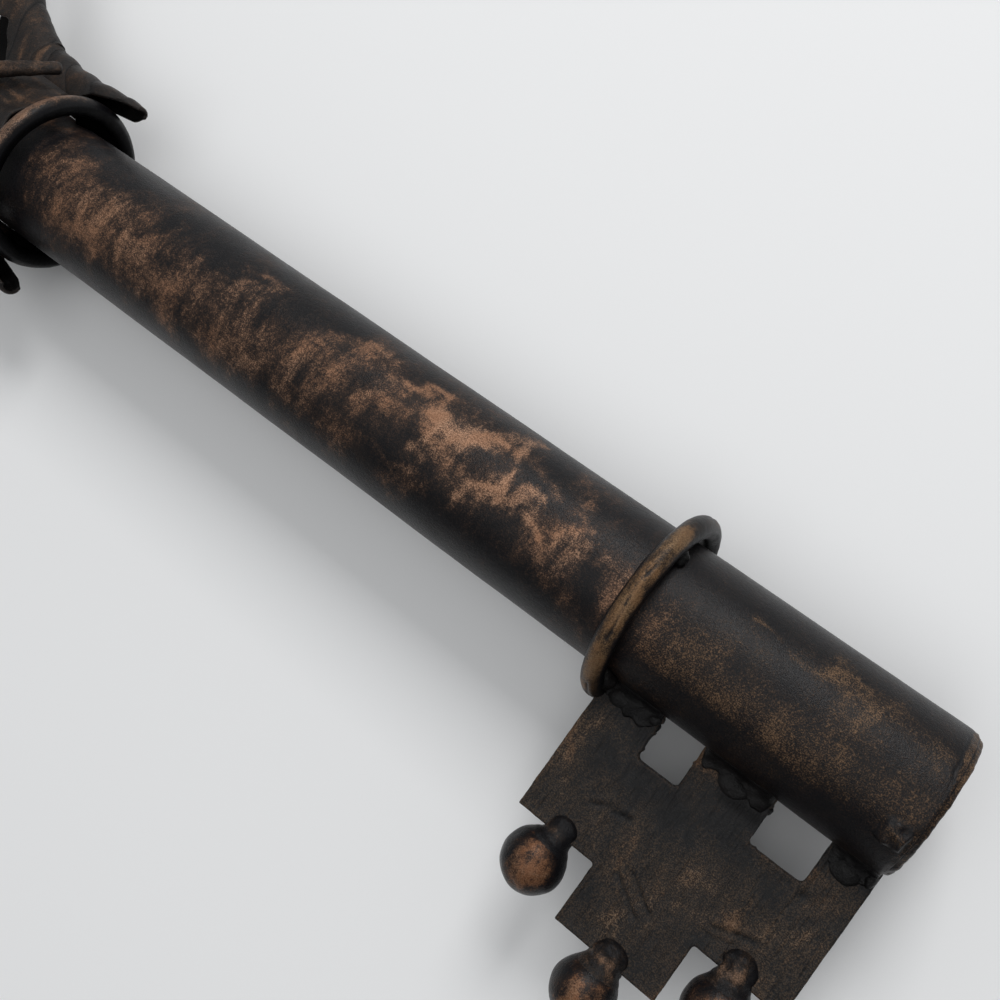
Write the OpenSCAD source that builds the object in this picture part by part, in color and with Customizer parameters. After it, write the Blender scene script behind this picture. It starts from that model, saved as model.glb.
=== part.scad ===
// Large decorative key of welded steel: a tube shank with two rod collars, a
// cut plate bit with ball studs, and an open bow of round bar dressed with
// sheet leaves. It lies on its back, with the tip towards +X and the bit
// towards -Y. Millimetres.

/* [Shank] */
// Outside diameter of the shank tube
shank_d = 42.2; // [41:0.1:43.4]
// Wall of the shank tube
shank_wall = 2.6; // [1.5:0.1:4]
// Shank from its tip end to the middle of the upper collar
collar_span = 324.4; // [320:0.1:340]
// Thickness of the ground cap that closes the tip end
tip_cap = 1.8; // [1:0.1:2.4]

/* [Collars] */
// Diameter of the rod that both collars are bent from
collar_rod = 6.4; // [5:0.1:7]
// Slack between the lower collar and the shank
lower_slack = 1.2; // [0.4:0.1:2]
// Slack between the upper collar and the shank
upper_slack = 3.1; // [2.4:0.1:3.4]
// Lean of the lower collar, in degrees
lower_lean = -4; // [-6:0.5:0]

/* [Bit] */
// Width of the bit plate along the shank
bit_w = 81.4; // [78:0.2:84]
// Thickness of the bit plate
bit_t = 3.2; // [2:0.1:4]
// Drop from the shank to the plate's two shoulders
shoulder_drop = 41.2; // [38:0.2:44]
// Further drop from the shoulders to the end of the tongue
tongue_drop = 17.2; // [14:0.2:20]
// How far the plate stands past the end of the tube, beside its cap
bit_over = 1; // [0:0.1:1.2]
// Diameter of the ball studs
ball_d = 18; // [16:0.2:20]
// Diameter of the short stem that carries the inner ball
stem_d = 7.8; // [6:0.1:8.4]
// Diameter of the thicker weld stems that carry the other two balls
weld_stem_d = 9.8; // [8:0.1:10.6]

/* [Bow] */
// Diameter of the round bar in the bow
bar_d = 9.5; // [8:0.1:10]
// Half width of the bow, to the middle of its side bars
bow_half = 80; // [78:0.5:84]
// Thickness of the leaf sheet
leaf_t = 1.5; // [1.2:0.1:2]
// Diameter of the ball at the top of the bow
finial_d = 22; // [20:0.5:24]
// Diameter of the hole in the hanging eye
eye_hole_d = 10; // [8:0.5:11]

/* [Hidden] */

shank_r = shank_d / 2;
rod_r = collar_rod / 2;
bar_r = bar_d / 2;
ball_r = ball_d / 2;
finial_r = finial_d / 2;

// Places along the shank, from its tip end at x = 0 back towards the bow.
bit_x1 = bit_over;
bit_x0 = bit_x1 - bit_w;
lower_collar_x = bit_x0 - 1.1;
upper_collar_x = -collar_span;
shank_x0 = upper_collar_x - 22;
bow_wide_x = shank_x0 - 98.2;
bow_top_x = shank_x0 - 162.2;
finial_x = bow_top_x - bar_r - finial_r - 4;
eye_r = eye_hole_d / 2 + 5;
eye_x = finial_x - finial_r - eye_r + 2;
eye_t = 4;
plug_t = 5;

lower_ring_r = shank_r + lower_slack + rod_r;
upper_ring_r = shank_r + upper_slack + rod_r;
axis_z = upper_ring_r + rod_r;

// The row's origin is under the middle of the object's box.
key_x0 = eye_x - eye_r;
key_x1 = tip_cap;
shift_x = -(key_x0 + key_x1) / 2;

// Bit plate: shares of its width, from the bow side to the tip side.
tongue_x0 = bit_x0 + 24.6;
tongue_x1 = bit_x0 + 55.8;
window_1_x0 = bit_x0 + 18.2;
window_1_x1 = bit_x0 + 30.4;
window_2_x0 = bit_x0 + 52.2;
window_2_x1 = bit_x0 + 67.8;
window_drop = 12.7;
window_corner = 1.6;
tab_sink = 1.2;
shoulder_y = shank_r + shoulder_drop;
tongue_y = shoulder_y + tongue_drop;
ball_gap = 9.4;
key_half_y = tongue_y + ball_gap + ball_r;
run_r = 2.6;
ball_inner_x = bit_x0 + 11.7;
ball_middle_x = bit_x0 + 40.6;
ball_outer_x = bit_x0 + 68.6;

steel = [0.16, 0.12, 0.10];
worn = [0.42, 0.28, 0.18];

// Moves a piece from the shank's own axes to the row frame.
module placed() {
    translate([shift_x, 0, axis_z]) children();
}

// Turns a piece so that its +Z runs along +X.
module along_x() {
    rotate([0, 90, 0]) children();
}

// Smooth curve through control points: Bezier of any degree.
function mixed(a, b, t) = a * (1 - t) + b * t;
function bezier(p, t) = len(p) == 1
    ? p[0]
    : bezier([for (i = [0 : len(p) - 2]) mixed(p[i], p[i + 1], t)], t);
function unit(v) = v / norm(v);
function clamp(v, low, high) = max(low, min(high, v));
function smooth(v) = let (c = clamp(v, 0, 1)) c * c * (3 - 2 * c);

// Closed mesh from rows of points: each row is one ring round the piece.
module skinned(rows) {
    m = len(rows);
    k = len(rows[0]);
    points = [for (r = rows) each r];
    walls = [
        for (i = [0 : m - 2], j = [0 : k - 1])
            let (a = i * k + j, b = i * k + (j + 1) % k)
            each [[a, b, b + k], [a, b + k, a + k]]
    ];
    first = [for (j = [1 : k - 2]) [0, j + 1, j]];
    last = [for (j = [1 : k - 2]) [(m - 1) * k, (m - 1) * k + j, (m - 1) * k + j + 1]];
    polyhedron(points, concat(walls, first, last));
}

// Closed sheet from rows of points, each as [its face, its back], edge to edge.
module sheet(rows) {
    m = len(rows);
    k = len(rows[0][0]);
    points = [for (r = rows) each concat(r[0], [for (j = [k - 1 : -1 : 0]) r[1][j]])];
    n = 2 * k;
    walls = [
        for (i = [0 : m - 2], j = [0 : n - 1])
            let (a = i * n + j, b = i * n + (j + 1) % n)
            each [[a, b, b + n], [a, b + n, a + n]]
    ];
    ends = [
        for (j = [0 : k - 2])
            let (a = j, b = j + 1, c = n - 2 - j, d = n - 1 - j, e = (m - 1) * n)
            each [[a, c, b], [a, d, c], [e + a, e + b, e + c], [e + a, e + c, e + d]]
    ];
    polyhedron(points, concat(walls, ends));
}

// Pressed creases that run from a leaf's margin inwards and towards its tip.
function crease(s, u, count, slant) =
    let (p = s * count - abs(u) * slant) abs(2 * (p - floor(p)) - 1);

// The shank as a solid, to cut what is fitted to its outside.
module shank_solid() {
    translate([shank_x0, 0, 0]) along_x() cylinder(h = -shank_x0 + 5, r = shank_r, $fn = 96);
}

module shank_tube() {
    color(steel)
    placed() translate([shank_x0, 0, 0]) along_x() difference() {
        cylinder(h = -shank_x0, r = shank_r, $fn = 96);
        translate([0, 0, -1]) cylinder(h = 2 - shank_x0, r = shank_r - shank_wall, $fn = 96);
    }
}

// Plug let into the tip end, with a cap over the end of the tube, its rim ground round.
module tip_plug() {
    color(worn)
    placed() along_x() rotate_extrude($fn = 96) union() {
        translate([0, -plug_t]) square([shank_r - shank_wall, plug_t + tip_cap]);
        square([shank_r - tip_cap, tip_cap]);
        intersection() {
            translate([shank_r - tip_cap, 0]) circle(r = tip_cap, $fn = 40);
            square([shank_r, tip_cap]);
        }
    }
}

// Disc let into the other end, drilled for the bar that carries the bow.
module bow_end_plug() {
    color(steel)
    placed() translate([shank_x0, 0, 0]) along_x() difference() {
        cylinder(h = plug_t, r = shank_r - shank_wall, $fn = 96);
        translate([0, 0, -1]) cylinder(h = plug_t + 2, r = bar_r, $fn = 48);
    }
}

// Rod bent to a ring round the shank.
module collar(ring_r) {
    along_x() rotate_extrude($fn = 96) translate([ring_r, 0]) circle(r = rod_r, $fn = 32);
}

module leaning_collar() {
    translate([lower_collar_x, 0, 0]) rotate([0, lower_lean, 0]) collar(lower_ring_r);
}

module lower_collar() {
    color(worn)
    placed() leaning_collar();
}

module upper_collar() {
    color(worn)
    placed() translate([upper_collar_x, 0, 0]) collar(upper_ring_r);
}

// Outline of the bit, seen from the front, with the shank above it.
module bit_outline() {
    top = -(shank_r - tab_sink);
    difference() {
        union() {
            translate([bit_x0, -shoulder_y]) square([bit_w, shoulder_y + top]);
            translate([tongue_x0, -tongue_y]) square([tongue_x1 - tongue_x0, tongue_drop + 1]);
        }
        window(window_1_x0, window_1_x1);
        window(window_2_x0, window_2_x1);
    }
}

// Square window that is open towards the shank, with rounded lower corners.
module window(x0, x1) {
    low = -(shank_r + window_drop);
    translate([x0, low + window_corner]) square([x1 - x0, 40]);
    translate([x0 + window_corner, low]) square([x1 - x0 - 2 * window_corner, 40]);
    for (x = [x0 + window_corner, x1 - window_corner])
        translate([x, low + window_corner]) circle(r = window_corner, $fn = 24);
}

module bit_plate() {
    color(steel)
    placed() difference() {
        translate([0, 0, -bit_t / 2]) linear_extrude(height = bit_t) bit_outline();
        shank_solid();
        leaning_collar();
    }
}

// Stem from a ball to the plate, which it laps on both faces. It leans towards
// the tip by some degrees.
module stem(x, edge_y, d, lap, lean) {
    color(steel)
    placed() difference() {
        translate([x, -(edge_y + ball_gap), 0]) rotate([0, 0, -lean]) rotate([-90, 0, 0])
            cylinder(h = lap + ball_gap, d = d, $fn = 40);
        translate([x, -(edge_y + ball_gap), 0]) sphere(r = ball_r, $fn = 64);
        translate([x - ball_r, -edge_y, -bit_t / 2]) cube([ball_d, ball_d, bit_t]);
    }
}

module ball(x, edge_y) {
    color(worn)
    placed() translate([x, -(edge_y + ball_gap), 0]) sphere(r = ball_r, $fn = 64);
}

module ball_inner() { ball(ball_inner_x, shoulder_y); }
module ball_middle() { ball(ball_middle_x, tongue_y); }
module ball_outer() { ball(ball_outer_x, shoulder_y); }
module stem_inner() { stem(ball_inner_x, shoulder_y, stem_d, 5.2, 10); }
module stem_middle() { stem(ball_middle_x, tongue_y, weld_stem_d, 6, 3); }
module stem_outer() { stem(ball_outer_x, shoulder_y, weld_stem_d, 7.4, -6); }

// Weld bead between the plate and the shank, on both faces of a tab.
module bead(x0, x1) {
    bead_r = 3.4;
    difference() {
        for (side = [-1, 1])
            translate([x0, -(shank_r + 0.4), side * bit_t / 2]) along_x()
                cylinder(h = x1 - x0, r = bead_r, $fn = 24);
        translate([x0 - 1, -shank_r - 10, -bit_t / 2]) cube([x1 - x0 + 2, 20, bit_t]);
        shank_solid();
    }
}

module bit_weld_beads() {
    color(steel)
    placed() {
        bead(bit_x0 + 5, window_1_x0 - 1);
        bead(window_1_x1 + 1, window_2_x0 - 1);
        bead(window_2_x1 + 1, bit_x1 - 1);
    }
}

// Tack welds that fill the slack between a collar and the shank.
module tacks(angles, tack_r) {
    for (a = angles)
        rotate([a, 0, 0]) translate([0, 0, shank_r + 1]) sphere(r = tack_r, $fn = 24);
}

module lower_collar_tacks() {
    color(steel)
    placed() difference() {
        translate([lower_collar_x, 0, 0]) tacks([-72, 40, 180], 4.4);
        leaning_collar();
        shank_solid();
    }
}

// Run of weld in the slack of the upper collar, from one angle to another, both
// counted from the back of the key towards its right side.
module weld_run(from, to) {
    along_x() rotate([0, 0, from]) rotate_extrude(angle = to - from, $fn = 96)
        translate([shank_r + upper_slack / 2, 0]) circle(r = run_r, $fn = 24);
}

module upper_collar_tacks() {
    color(steel)
    placed() difference() {
        translate([upper_collar_x - 1, 0, 0]) {
            weld_run(50, 98);
            weld_run(262, 306);
        }
        translate([upper_collar_x, 0, 0]) collar(upper_ring_r);
        shank_solid();
    }
}

// Heading of a route at one of its points.
function along(route, i) = unit(
    route[min(len(route) - 1, i + 1)] - route[max(0, i - 1)]
);

// Bar of round section along a route of points in a plane of constant z.
module bar_along(route, r, sides, tip_share = 1) {
    last = len(route) - 1;
    skinned([
        for (i = [0 : last])
            let (
                h = along(route, i),
                out = [-h[1], h[0], 0],
                w = r * mixed(1, tip_share, i / last)
            )
            [for (j = [0 : sides - 1])
                let (a = -360 * j / sides)
                route[i] + w * (out * cos(a) + [0, 0, 1] * sin(a))]
    ]);
}

// Side bar of the bow: along the shank, out to the widest place, round to the top.
bar_y = shank_r + bar_r;
bar_start = [shank_x0 + 17, bar_y, 0];
bar_bend = [shank_x0 + 1.8, bar_y, 0];
bar_out = [
    bar_bend, bar_bend - [21, 0, 0], [bow_wide_x + 53.8, 47, 0],
    [bow_wide_x + 31.8, bow_half, 0], [bow_wide_x, bow_half, 0]
];
bar_back = [
    [bow_wide_x, bow_half, 0], [bow_wide_x - 40, bow_half, 0],
    [bow_top_x, 46, 0], [bow_top_x, bar_r, 0]
];
bar_route = concat(
    [bar_start],
    [for (i = [0 : 18]) bezier(bar_out, i / 18)],
    [for (i = [1 : 14]) bezier(bar_back, i / 14)]
);

module bow_bar(side) {
    color(steel)
    placed() mirror([0, side < 0 ? 1 : 0, 0]) bar_along(bar_route, bar_r, 12);
}

module bow_bar_right() { bow_bar(1); }
module bow_bar_left() { bow_bar(-1); }

// Scroll that winds in from the centre bar, past the side bar, to its eye.
scroll_r = 3.5;
scroll_step = 12;
scroll_turn = 576;
scroll_pitch = 5.7;
scroll_nest = 0.05;
scroll_room = bow_half - 2 * (bar_r + scroll_r) + 3 * scroll_nest;
scroll_from_r = (scroll_room + scroll_pitch) / 2;
scroll_y = bar_r + scroll_r + scroll_from_r - scroll_nest;
scroll_route = [
    for (a = [0 : scroll_step : scroll_turn])
        let (r = scroll_from_r - scroll_pitch * a / 180)
        [bow_wide_x + r * sin(a), scroll_y - r * cos(a), 0]
];

module inner_scroll(side) {
    color(steel)
    placed() mirror([0, side < 0 ? 1 : 0, 0]) bar_along(scroll_route, scroll_r, 10, 0.72);
}

module inner_scroll_right() { inner_scroll(1); }
module inner_scroll_left() { inner_scroll(-1); }

// Band wrapped round the side bar and the scroll where they touch.
band_w = 9;
band_t = 1.6;
band_slack = 0.4;

module stadium(y0, y1, r, h) {
    translate([-h / 2, 0, 0]) rotate([90, 0, 90]) linear_extrude(height = h) union() {
        translate([y0, 0]) circle(r = r, $fn = 48);
        translate([y1, 0]) circle(r = r, $fn = 48);
        translate([y0, -r]) square([y1 - y0, 2 * r]);
    }
}

module binding(side) {
    y0 = bow_half - bar_r - 2 * scroll_r - band_slack + bar_r;
    y1 = bow_half + band_slack;
    color(worn)
    placed() mirror([0, side < 0 ? 1 : 0, 0]) translate([bow_wide_x, 0, 0]) difference() {
        stadium(y0, y1, bar_r + band_t, band_w);
        stadium(y0, y1, bar_r, band_w + 2);
    }
}

module binding_right() { binding(1); }
module binding_left() { binding(-1); }

// Straight bar on the shank's axis, from the plug to the finial.
module centre_bar() {
    color(steel)
    placed() difference() {
        translate([finial_x, 0, 0]) along_x()
            cylinder(h = shank_x0 + plug_t - finial_x, r = bar_r, $fn = 48);
        translate([finial_x, 0, 0]) sphere(r = finial_r, $fn = 64);
    }
}

module finial_ball() {
    color(worn)
    placed() translate([finial_x, 0, 0]) sphere(r = finial_r, $fn = 64);
}

// Flat lug with a drilled hole, for a nail, hook or chain.
module hanging_eye() {
    color(steel)
    placed() difference() {
        translate([0, 0, -eye_t / 2]) linear_extrude(height = eye_t) union() {
            translate([eye_x, 0]) circle(r = eye_r, $fn = 64);
            translate([eye_x, -8]) square([finial_x - eye_x, 16]);
        }
        translate([eye_x, 0, -eye_t]) cylinder(h = 2 * eye_t, r = eye_hole_d / 2, $fn = 64);
        translate([finial_x, 0, 0]) sphere(r = finial_r, $fn = 64);
    }
}

// Leaves folded round a side bar, each a sheet bent to a U that opens inwards.
// Its fold is the outer margin, scalloped, and its front and back are creased.
leaf_columns = 14;
leaf_seat = bar_r + 0.02;
leaf_flat = 0.4;
crease_depth = 0.5;
crease_slant = 1.4;
scallop_rise = 0.8;

// One point of a leaf's cross-section: u is 0 at the fold, 1 at the front edge
// and -1 at the back edge. It gives the way outwards from the spine and the height.
function fold_point(u, wide, inner, high) =
    let (v = abs(u), side = u < 0 ? -1 : 1)
    v < 1 - leaf_flat
        ? [wide * cos(90 * v / (1 - leaf_flat)), side * high * sin(90 * v / (1 - leaf_flat))]
        : [-inner * (v - 1 + leaf_flat) / leaf_flat, side * high];

function leaf_side(spine, i, size, lobes, t) =
    let (
        s = i / (len(spine) - 1),
        h = along(spine, i),
        out = [-h[1], h[0], 0],
        scallop = scallop_rise * sin(180 * ((s * lobes) % 1)),
        grow = size[0] - bar_r > 1 ? scallop : 0
    )
    [for (j = [0 : leaf_columns])
        let (
            u = 2 * j / leaf_columns - 1,
            q = fold_point(u, size[0] + grow + t, u > 0 ? size[1] : size[2], size[3] + t),
            rib = t > 0 ? crease_depth * crease(s, u, lobes, crease_slant) : 0
        )
        spine[i] + out * (q[0] + rib * cos(90 * u)) + [0, 0, q[1] + sign(u) * rib * abs(sin(90 * u))]];

module leaf(spine, sizes, lobes) {
    color(worn)
    sheet([
        for (i = [0 : len(spine) - 1])
            [for (t = [0, leaf_t]) leaf_side(spine, i, sizes[i], lobes, t)]
    ]);
}

// Sizes along a leaf: from its spine to the fold, to the front edge and to the
// back edge, and half of its height. Each is drawn through a few named places.
function through(stops, s, k) =
    let (
        n = len(stops) - 1,
        i = min(n - 1, max([for (j = [0 : n - 1]) s >= stops[j][0] ? j : 0])),
        f = smooth((s - stops[i][0]) / (stops[i + 1][0] - stops[i][0]))
    )
    mixed(stops[i][k], stops[i + 1][k], f);

function sizes_of(spine, stops) = [
    for (i = [0 : len(spine) - 1])
        let (s = i / (len(spine) - 1))
        [for (k = [1 : 4]) through(stops, s, k)]
];

// Large leaf on the lower half of a side bar, with its tip past the upper collar.
side_leave = bezier(bar_out, 0.2);
function side_spine(tip) = concat(
    [for (i = [0 : 13]) bezier(bar_out, mixed(0.84, 0.2, i / 13))],
    [for (i = [1 : 16])
        bezier([
            side_leave,
            side_leave + 9 * unit(side_leave - bezier(bar_out, 0.22)),
            [upper_collar_x - 11, 33, 0],
            tip
        ], i / 16)]
);
side_stops = [
    [0, bar_r + 0.3, 1.5, 1.5, leaf_seat],
    [0.2, bar_r + 1.4, 4, 4, leaf_seat],
    [0.31, bar_r + 0.9, 8.5, 7.5, leaf_seat],
    [0.345, bar_r + 1.6, 3.4, 12.5, leaf_seat],
    [0.38, bar_r + 2.4, 5.6, 17, leaf_seat],
    [0.45, bar_r + 3.6, 8.8, 17, leaf_seat],
    [0.62, bar_r + 2.3, 8, 7, leaf_seat],
    [0.77, bar_r - 0.7, 9.2, 4, leaf_seat],
    [0.86, 2.2, 2.2, 2.4, leaf_seat],
    [0.95, 1.6, 0.4, 3.4, 3.8],
    [1, 0.6, 0.2, 1.6, 2.6]
];

// The two tips differ by a few millimetres, as they were bent by hand.
module side_leaf(side) {
    tip = [upper_collar_x, 0, 0] + (side < 0 ? [8.6, 37.2, 0] : [11.6, 35.4, 0]);
    spine = side_spine(tip);
    placed() mirror([0, side < 0 ? 1 : 0, 0]) leaf(spine, sizes_of(spine, side_stops), 8);
}

module side_leaf_right() { side_leaf(1); }
module side_leaf_left() { side_leaf(-1); }

// Leaf on the upper half, from beside the finial out to a free tip.
crown_leave = bezier(bar_back, 0.34);
crown_spine = concat(
    [for (i = [0 : 10]) bezier(bar_back, mixed(0.86, 0.34, i / 10))],
    [for (i = [1 : 9])
        bezier([
            crown_leave,
            crown_leave + 9 * unit(crown_leave - bezier(bar_back, 0.36)),
            [bow_wide_x - 27, bow_half + 6, 0],
            [bow_wide_x - 17, key_half_y - 1.95, 0]
        ], i / 9)]
);
crown_stops = [
    [0, bar_r + 0.3, 1.5, 1.5, leaf_seat],
    [0.3, bar_r + 2.2, 3.5, 3.5, leaf_seat],
    [0.6, bar_r + 1.6, 6, 6, leaf_seat],
    [0.85, 3.4, 3.4, 3.4, leaf_seat],
    [1, 1, 0.8, 0.8, 2]
];

module crown_leaf(side) {
    placed() mirror([0, side < 0 ? 1 : 0, 0]) leaf(crown_spine, sizes_of(crown_spine, crown_stops), 6);
}

module crown_leaf_right() { crown_leaf(1); }
module crown_leaf_left() { crown_leaf(-1); }

// Small leaf flat on the centre bar, between the two scrolls.
centre_spine = [
    for (i = [0 : 14]) [bow_wide_x - 30 + 58 * i / 14, 0, leaf_seat]
];

module centre_leaf() {
    last = len(centre_spine) - 1;
    color(worn)
    placed() sheet([
        for (i = [0 : last])
            let (
                s = i / last,
                w = 1.2 + 9.5 * pow(sin(180 * pow(s, 0.8)), 0.8) * (1 - 0.12 * crease(s, 0, 6, 0)),
                row = [for (j = [0 : leaf_columns])
                    let (u = 2 * j / leaf_columns - 1)
                    centre_spine[i] + [0, u * w, 0.5 * crease(s, u, 6, 1) * abs(u) - 0.01 * w * w * u * u]]
            )
            [[for (q = row) q + [0, 0, leaf_t]], row]
    ]);
}

// Leaf wrapped over the end of the shank, drawn in to the centre bar behind it.
// Its two sides stand off the shank near the front.
wrap_columns = 16;
wrap_rows = 16;
wrap_front_x = upper_collar_x - rod_r - 2.4;
wrap_reach = 86;
wrap_angle = 72;
wrap_lift = 5;
wrap_facet = 1 / cos(wrap_angle / wrap_columns);

function wrap_base(x) = mixed(shank_r, bar_r, smooth((shank_x0 - 3 - x) / 48)) * wrap_facet;

function wrap_point(s, u, rise) =
    let (
        notch = 3.5 * (1 - cos(540 * u)) / 2,
        x = wrap_front_x - notch * (1 - s) - s * wrap_reach,
        ripple = 1.1 * (1 + cos(540 * u)) / 2 * sin(180 * s),
        side_share = smooth((abs(u) - 0.5) / 0.45),
        flare = 3 * pow(max(0, 0.12 - s) / 0.12, 2) * (1 - side_share),
        lift = wrap_lift * side_share * (1 - smooth((s - 0.25) / 0.35)),
        rho = wrap_base(x) + ripple + flare + lift + rise,
        a = u * wrap_angle
    )
    [x, rho * sin(a), rho * cos(a)];

module front_leaf() {
    color(worn)
    placed() sheet([
        for (i = [wrap_rows : -1 : 0])
            let (s = i / wrap_rows)
            [for (rise = [leaf_t, 0])
                [for (j = [0 : wrap_columns]) wrap_point(s, 2 * j / wrap_columns - 1, rise)]]
    ]);
}

// Rolled side lobe of the wrapped leaf, a blunt finger that points past the shank.
finger_path = [[-37, 13, 18.1], [-27, 18, 23.6], [-18, 24.5, 19.8], [-12, 31, 14.2]];
finger_r = 2.7;

module finger(side) {
    rings = 12;
    route = [for (i = [0 : rings]) [upper_collar_x, 0, 0] + bezier(finger_path, i / rings)];
    color(worn)
    placed() mirror([0, side < 0 ? 1 : 0, 0]) skinned([
        for (i = [0 : rings])
            let (
                s = i / rings,
                h = along(route, i),
                up = unit(cross(h, cross([0, 0, 1], h))),
                out = cross(up, h),
                w = finger_r * pow(sin(180 * mixed(0.12, 0.92, s)), 0.42)
            )
            [for (j = [0 : 9])
                let (a = -36 * j)
                route[i] + 1.25 * w * out * cos(a) + w * up * sin(a)]
    ]);
}

module front_lobe_right() { finger(1); }
module front_lobe_left() { finger(-1); }

shank_tube();
tip_plug();
bow_end_plug();
lower_collar();
upper_collar();
bit_plate();
ball_inner();
ball_middle();
ball_outer();
stem_inner();
stem_middle();
stem_outer();
bit_weld_beads();
lower_collar_tacks();
upper_collar_tacks();
bow_bar_right();
bow_bar_left();
centre_bar();
binding_right();
binding_left();
side_leaf_right();
side_leaf_left();
crown_leaf_right();
crown_leaf_left();
front_leaf();
front_lobe_right();
front_lobe_left();
centre_leaf();
inner_scroll_right();
inner_scroll_left();
finial_ball();
hanging_eye();
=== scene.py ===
"""A large decorative key of welded steel, painted black and rubbed back to copper.

It lies on a pale floor: a tube shank with two rod collars, a plate bit with three
ball studs, and an open bow of round bar with leaves of pressed sheet. Shapes are
worked out in millimetres from the middle of the key's box, with z counted from
the shank's axis, and go into the meshes in metres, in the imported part's frame.
"""

import bpy
import numpy as np
from mathutils import Matrix
from mathutils.geometry import delaunay_2d_cdt


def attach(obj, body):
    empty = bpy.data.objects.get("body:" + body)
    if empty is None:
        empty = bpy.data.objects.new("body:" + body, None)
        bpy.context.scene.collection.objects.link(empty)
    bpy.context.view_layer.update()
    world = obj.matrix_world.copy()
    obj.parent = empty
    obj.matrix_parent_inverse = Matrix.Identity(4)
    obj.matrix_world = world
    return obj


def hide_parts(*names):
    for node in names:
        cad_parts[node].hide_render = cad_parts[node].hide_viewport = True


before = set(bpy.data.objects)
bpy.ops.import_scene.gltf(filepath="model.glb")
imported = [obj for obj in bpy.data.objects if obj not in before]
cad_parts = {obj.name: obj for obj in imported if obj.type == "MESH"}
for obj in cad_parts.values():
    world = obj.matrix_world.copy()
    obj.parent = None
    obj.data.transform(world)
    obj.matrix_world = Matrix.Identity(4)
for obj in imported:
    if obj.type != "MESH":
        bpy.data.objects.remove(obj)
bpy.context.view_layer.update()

# The key's own sizes, in millimetres, as its source has them.
AXIS_Z = 30.6
TUBE_R = 21.1
TUBE_WALL = 2.6
TIP_X = 277.775
TUBE_X0 = -68.625
CAP = 1.8
ROD_R = 3.2
LOWER_X, LOWER_RING, LOWER_LEAN = 196.275, 25.5, -4.0
UPPER_X, UPPER_RING = -46.625, 27.4
BIT_X0, BIT_X1, BIT_T = 197.375, 278.775, 3.2
SHOULDER_Y, TONGUE_Y = -62.3, -79.5
TONGUE = (221.975, 253.175)
WINDOWS = ((215.575, 227.775), (249.575, 265.175))
WINDOW_Y = -33.8
BALL_R, BALL_GAP = 9.0, 9.4
# Each stud: its place along the key, its edge of the plate, then the stem's radius, lap, lean and
# roughness, and how far the stem is rubbed.
STUDS = {"inner": (209.075, SHOULDER_Y, 4.7, 5.6, 10, 0.03, 0.4),
         "middle": (237.975, TONGUE_Y, 5.6, 6.0, 3, 0.07, 0.62),
         "outer": (265.975, SHOULDER_Y, 5.5, 7.4, -6, 0.08, 0.5)}
BAR_R, BOW_X, BOW_TOP_X, BOW_HALF = 4.75, -166.825, -230.825, 80.0
FINIAL_X, FINIAL_R = -250.575, 11.0
EYE_X, EYE_R, EYE_HOLE, EYE_T = -269.575, 10.0, 5.0, 4.0
LEAF_T = 1.5
KEY_HALF_Y = 97.9


def smooth(low, high, value):
    """0 below low, 1 above high, and t * t * (3 - 2 t) in between."""
    t = np.clip((value - low) / (high - low), 0, 1)
    return t * t * (3 - 2 * t)


def bezier(points, t):
    """Bezier curve of any degree: neighbours are mixed at t, pair by pair, until one is left."""
    t = np.asarray(t, float)[:, None]
    left = [np.asarray(p, float) for p in points]
    while len(left) > 1:
        left = [a * (1 - t) + b * t for a, b in zip(left, left[1:])]
    return left[0]


def unit(v):
    """Each vector divided by its own length."""
    return v / np.maximum(np.linalg.norm(v, axis=-1, keepdims=True), 1e-12)


def beside(*parts):
    """Parts spread to one shape and put side by side along a last axis."""
    return np.stack(np.broadcast_arrays(*parts), -1)


def circle(n):
    """n even angles round a circle."""
    return np.linspace(0, 2 * np.pi, n, endpoint=False)


def grid(rows, columns):
    """Both values at each place of a grid."""
    return np.meshgrid(rows, columns, indexing="ij")


def dented(p, size, seed):
    """Hand-worked unevenness: fourteen sine waves, each near size mm long, with a direction and a
    phase drawn from the seed, are added up, divided by five and held between -1 and 1."""
    draw = np.random.default_rng(seed)
    way = unit(draw.normal(size=(14, 3)))
    wave = size * draw.uniform(0.7, 1.6, 14)
    start = draw.uniform(0, 2 * np.pi, 14)
    phase = 2 * np.pi * (p @ way.T) / wave + start
    return np.clip(np.sin(phase).sum(-1) / 5, -1, 1)


def strokes(a, b, marks):
    """The strongest of a list of strokes. A stroke runs from one place to another, and fades as
    exp(-d * d) of the distance d from it in widths."""
    most = np.zeros_like(a)
    for a0, b0, a1, b1, width, strength in marks:
        run_a, run_b = a1 - a0, b1 - b0
        t = np.clip(((a - a0) * run_a + (b - b0) * run_b) / (run_a ** 2 + run_b ** 2), 0, 1)
        away = np.hypot(a - a0 - t * run_a, b - b0 - t * run_b) / width
        most = np.maximum(most, strength * np.exp(-away ** 2))
    return most


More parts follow.
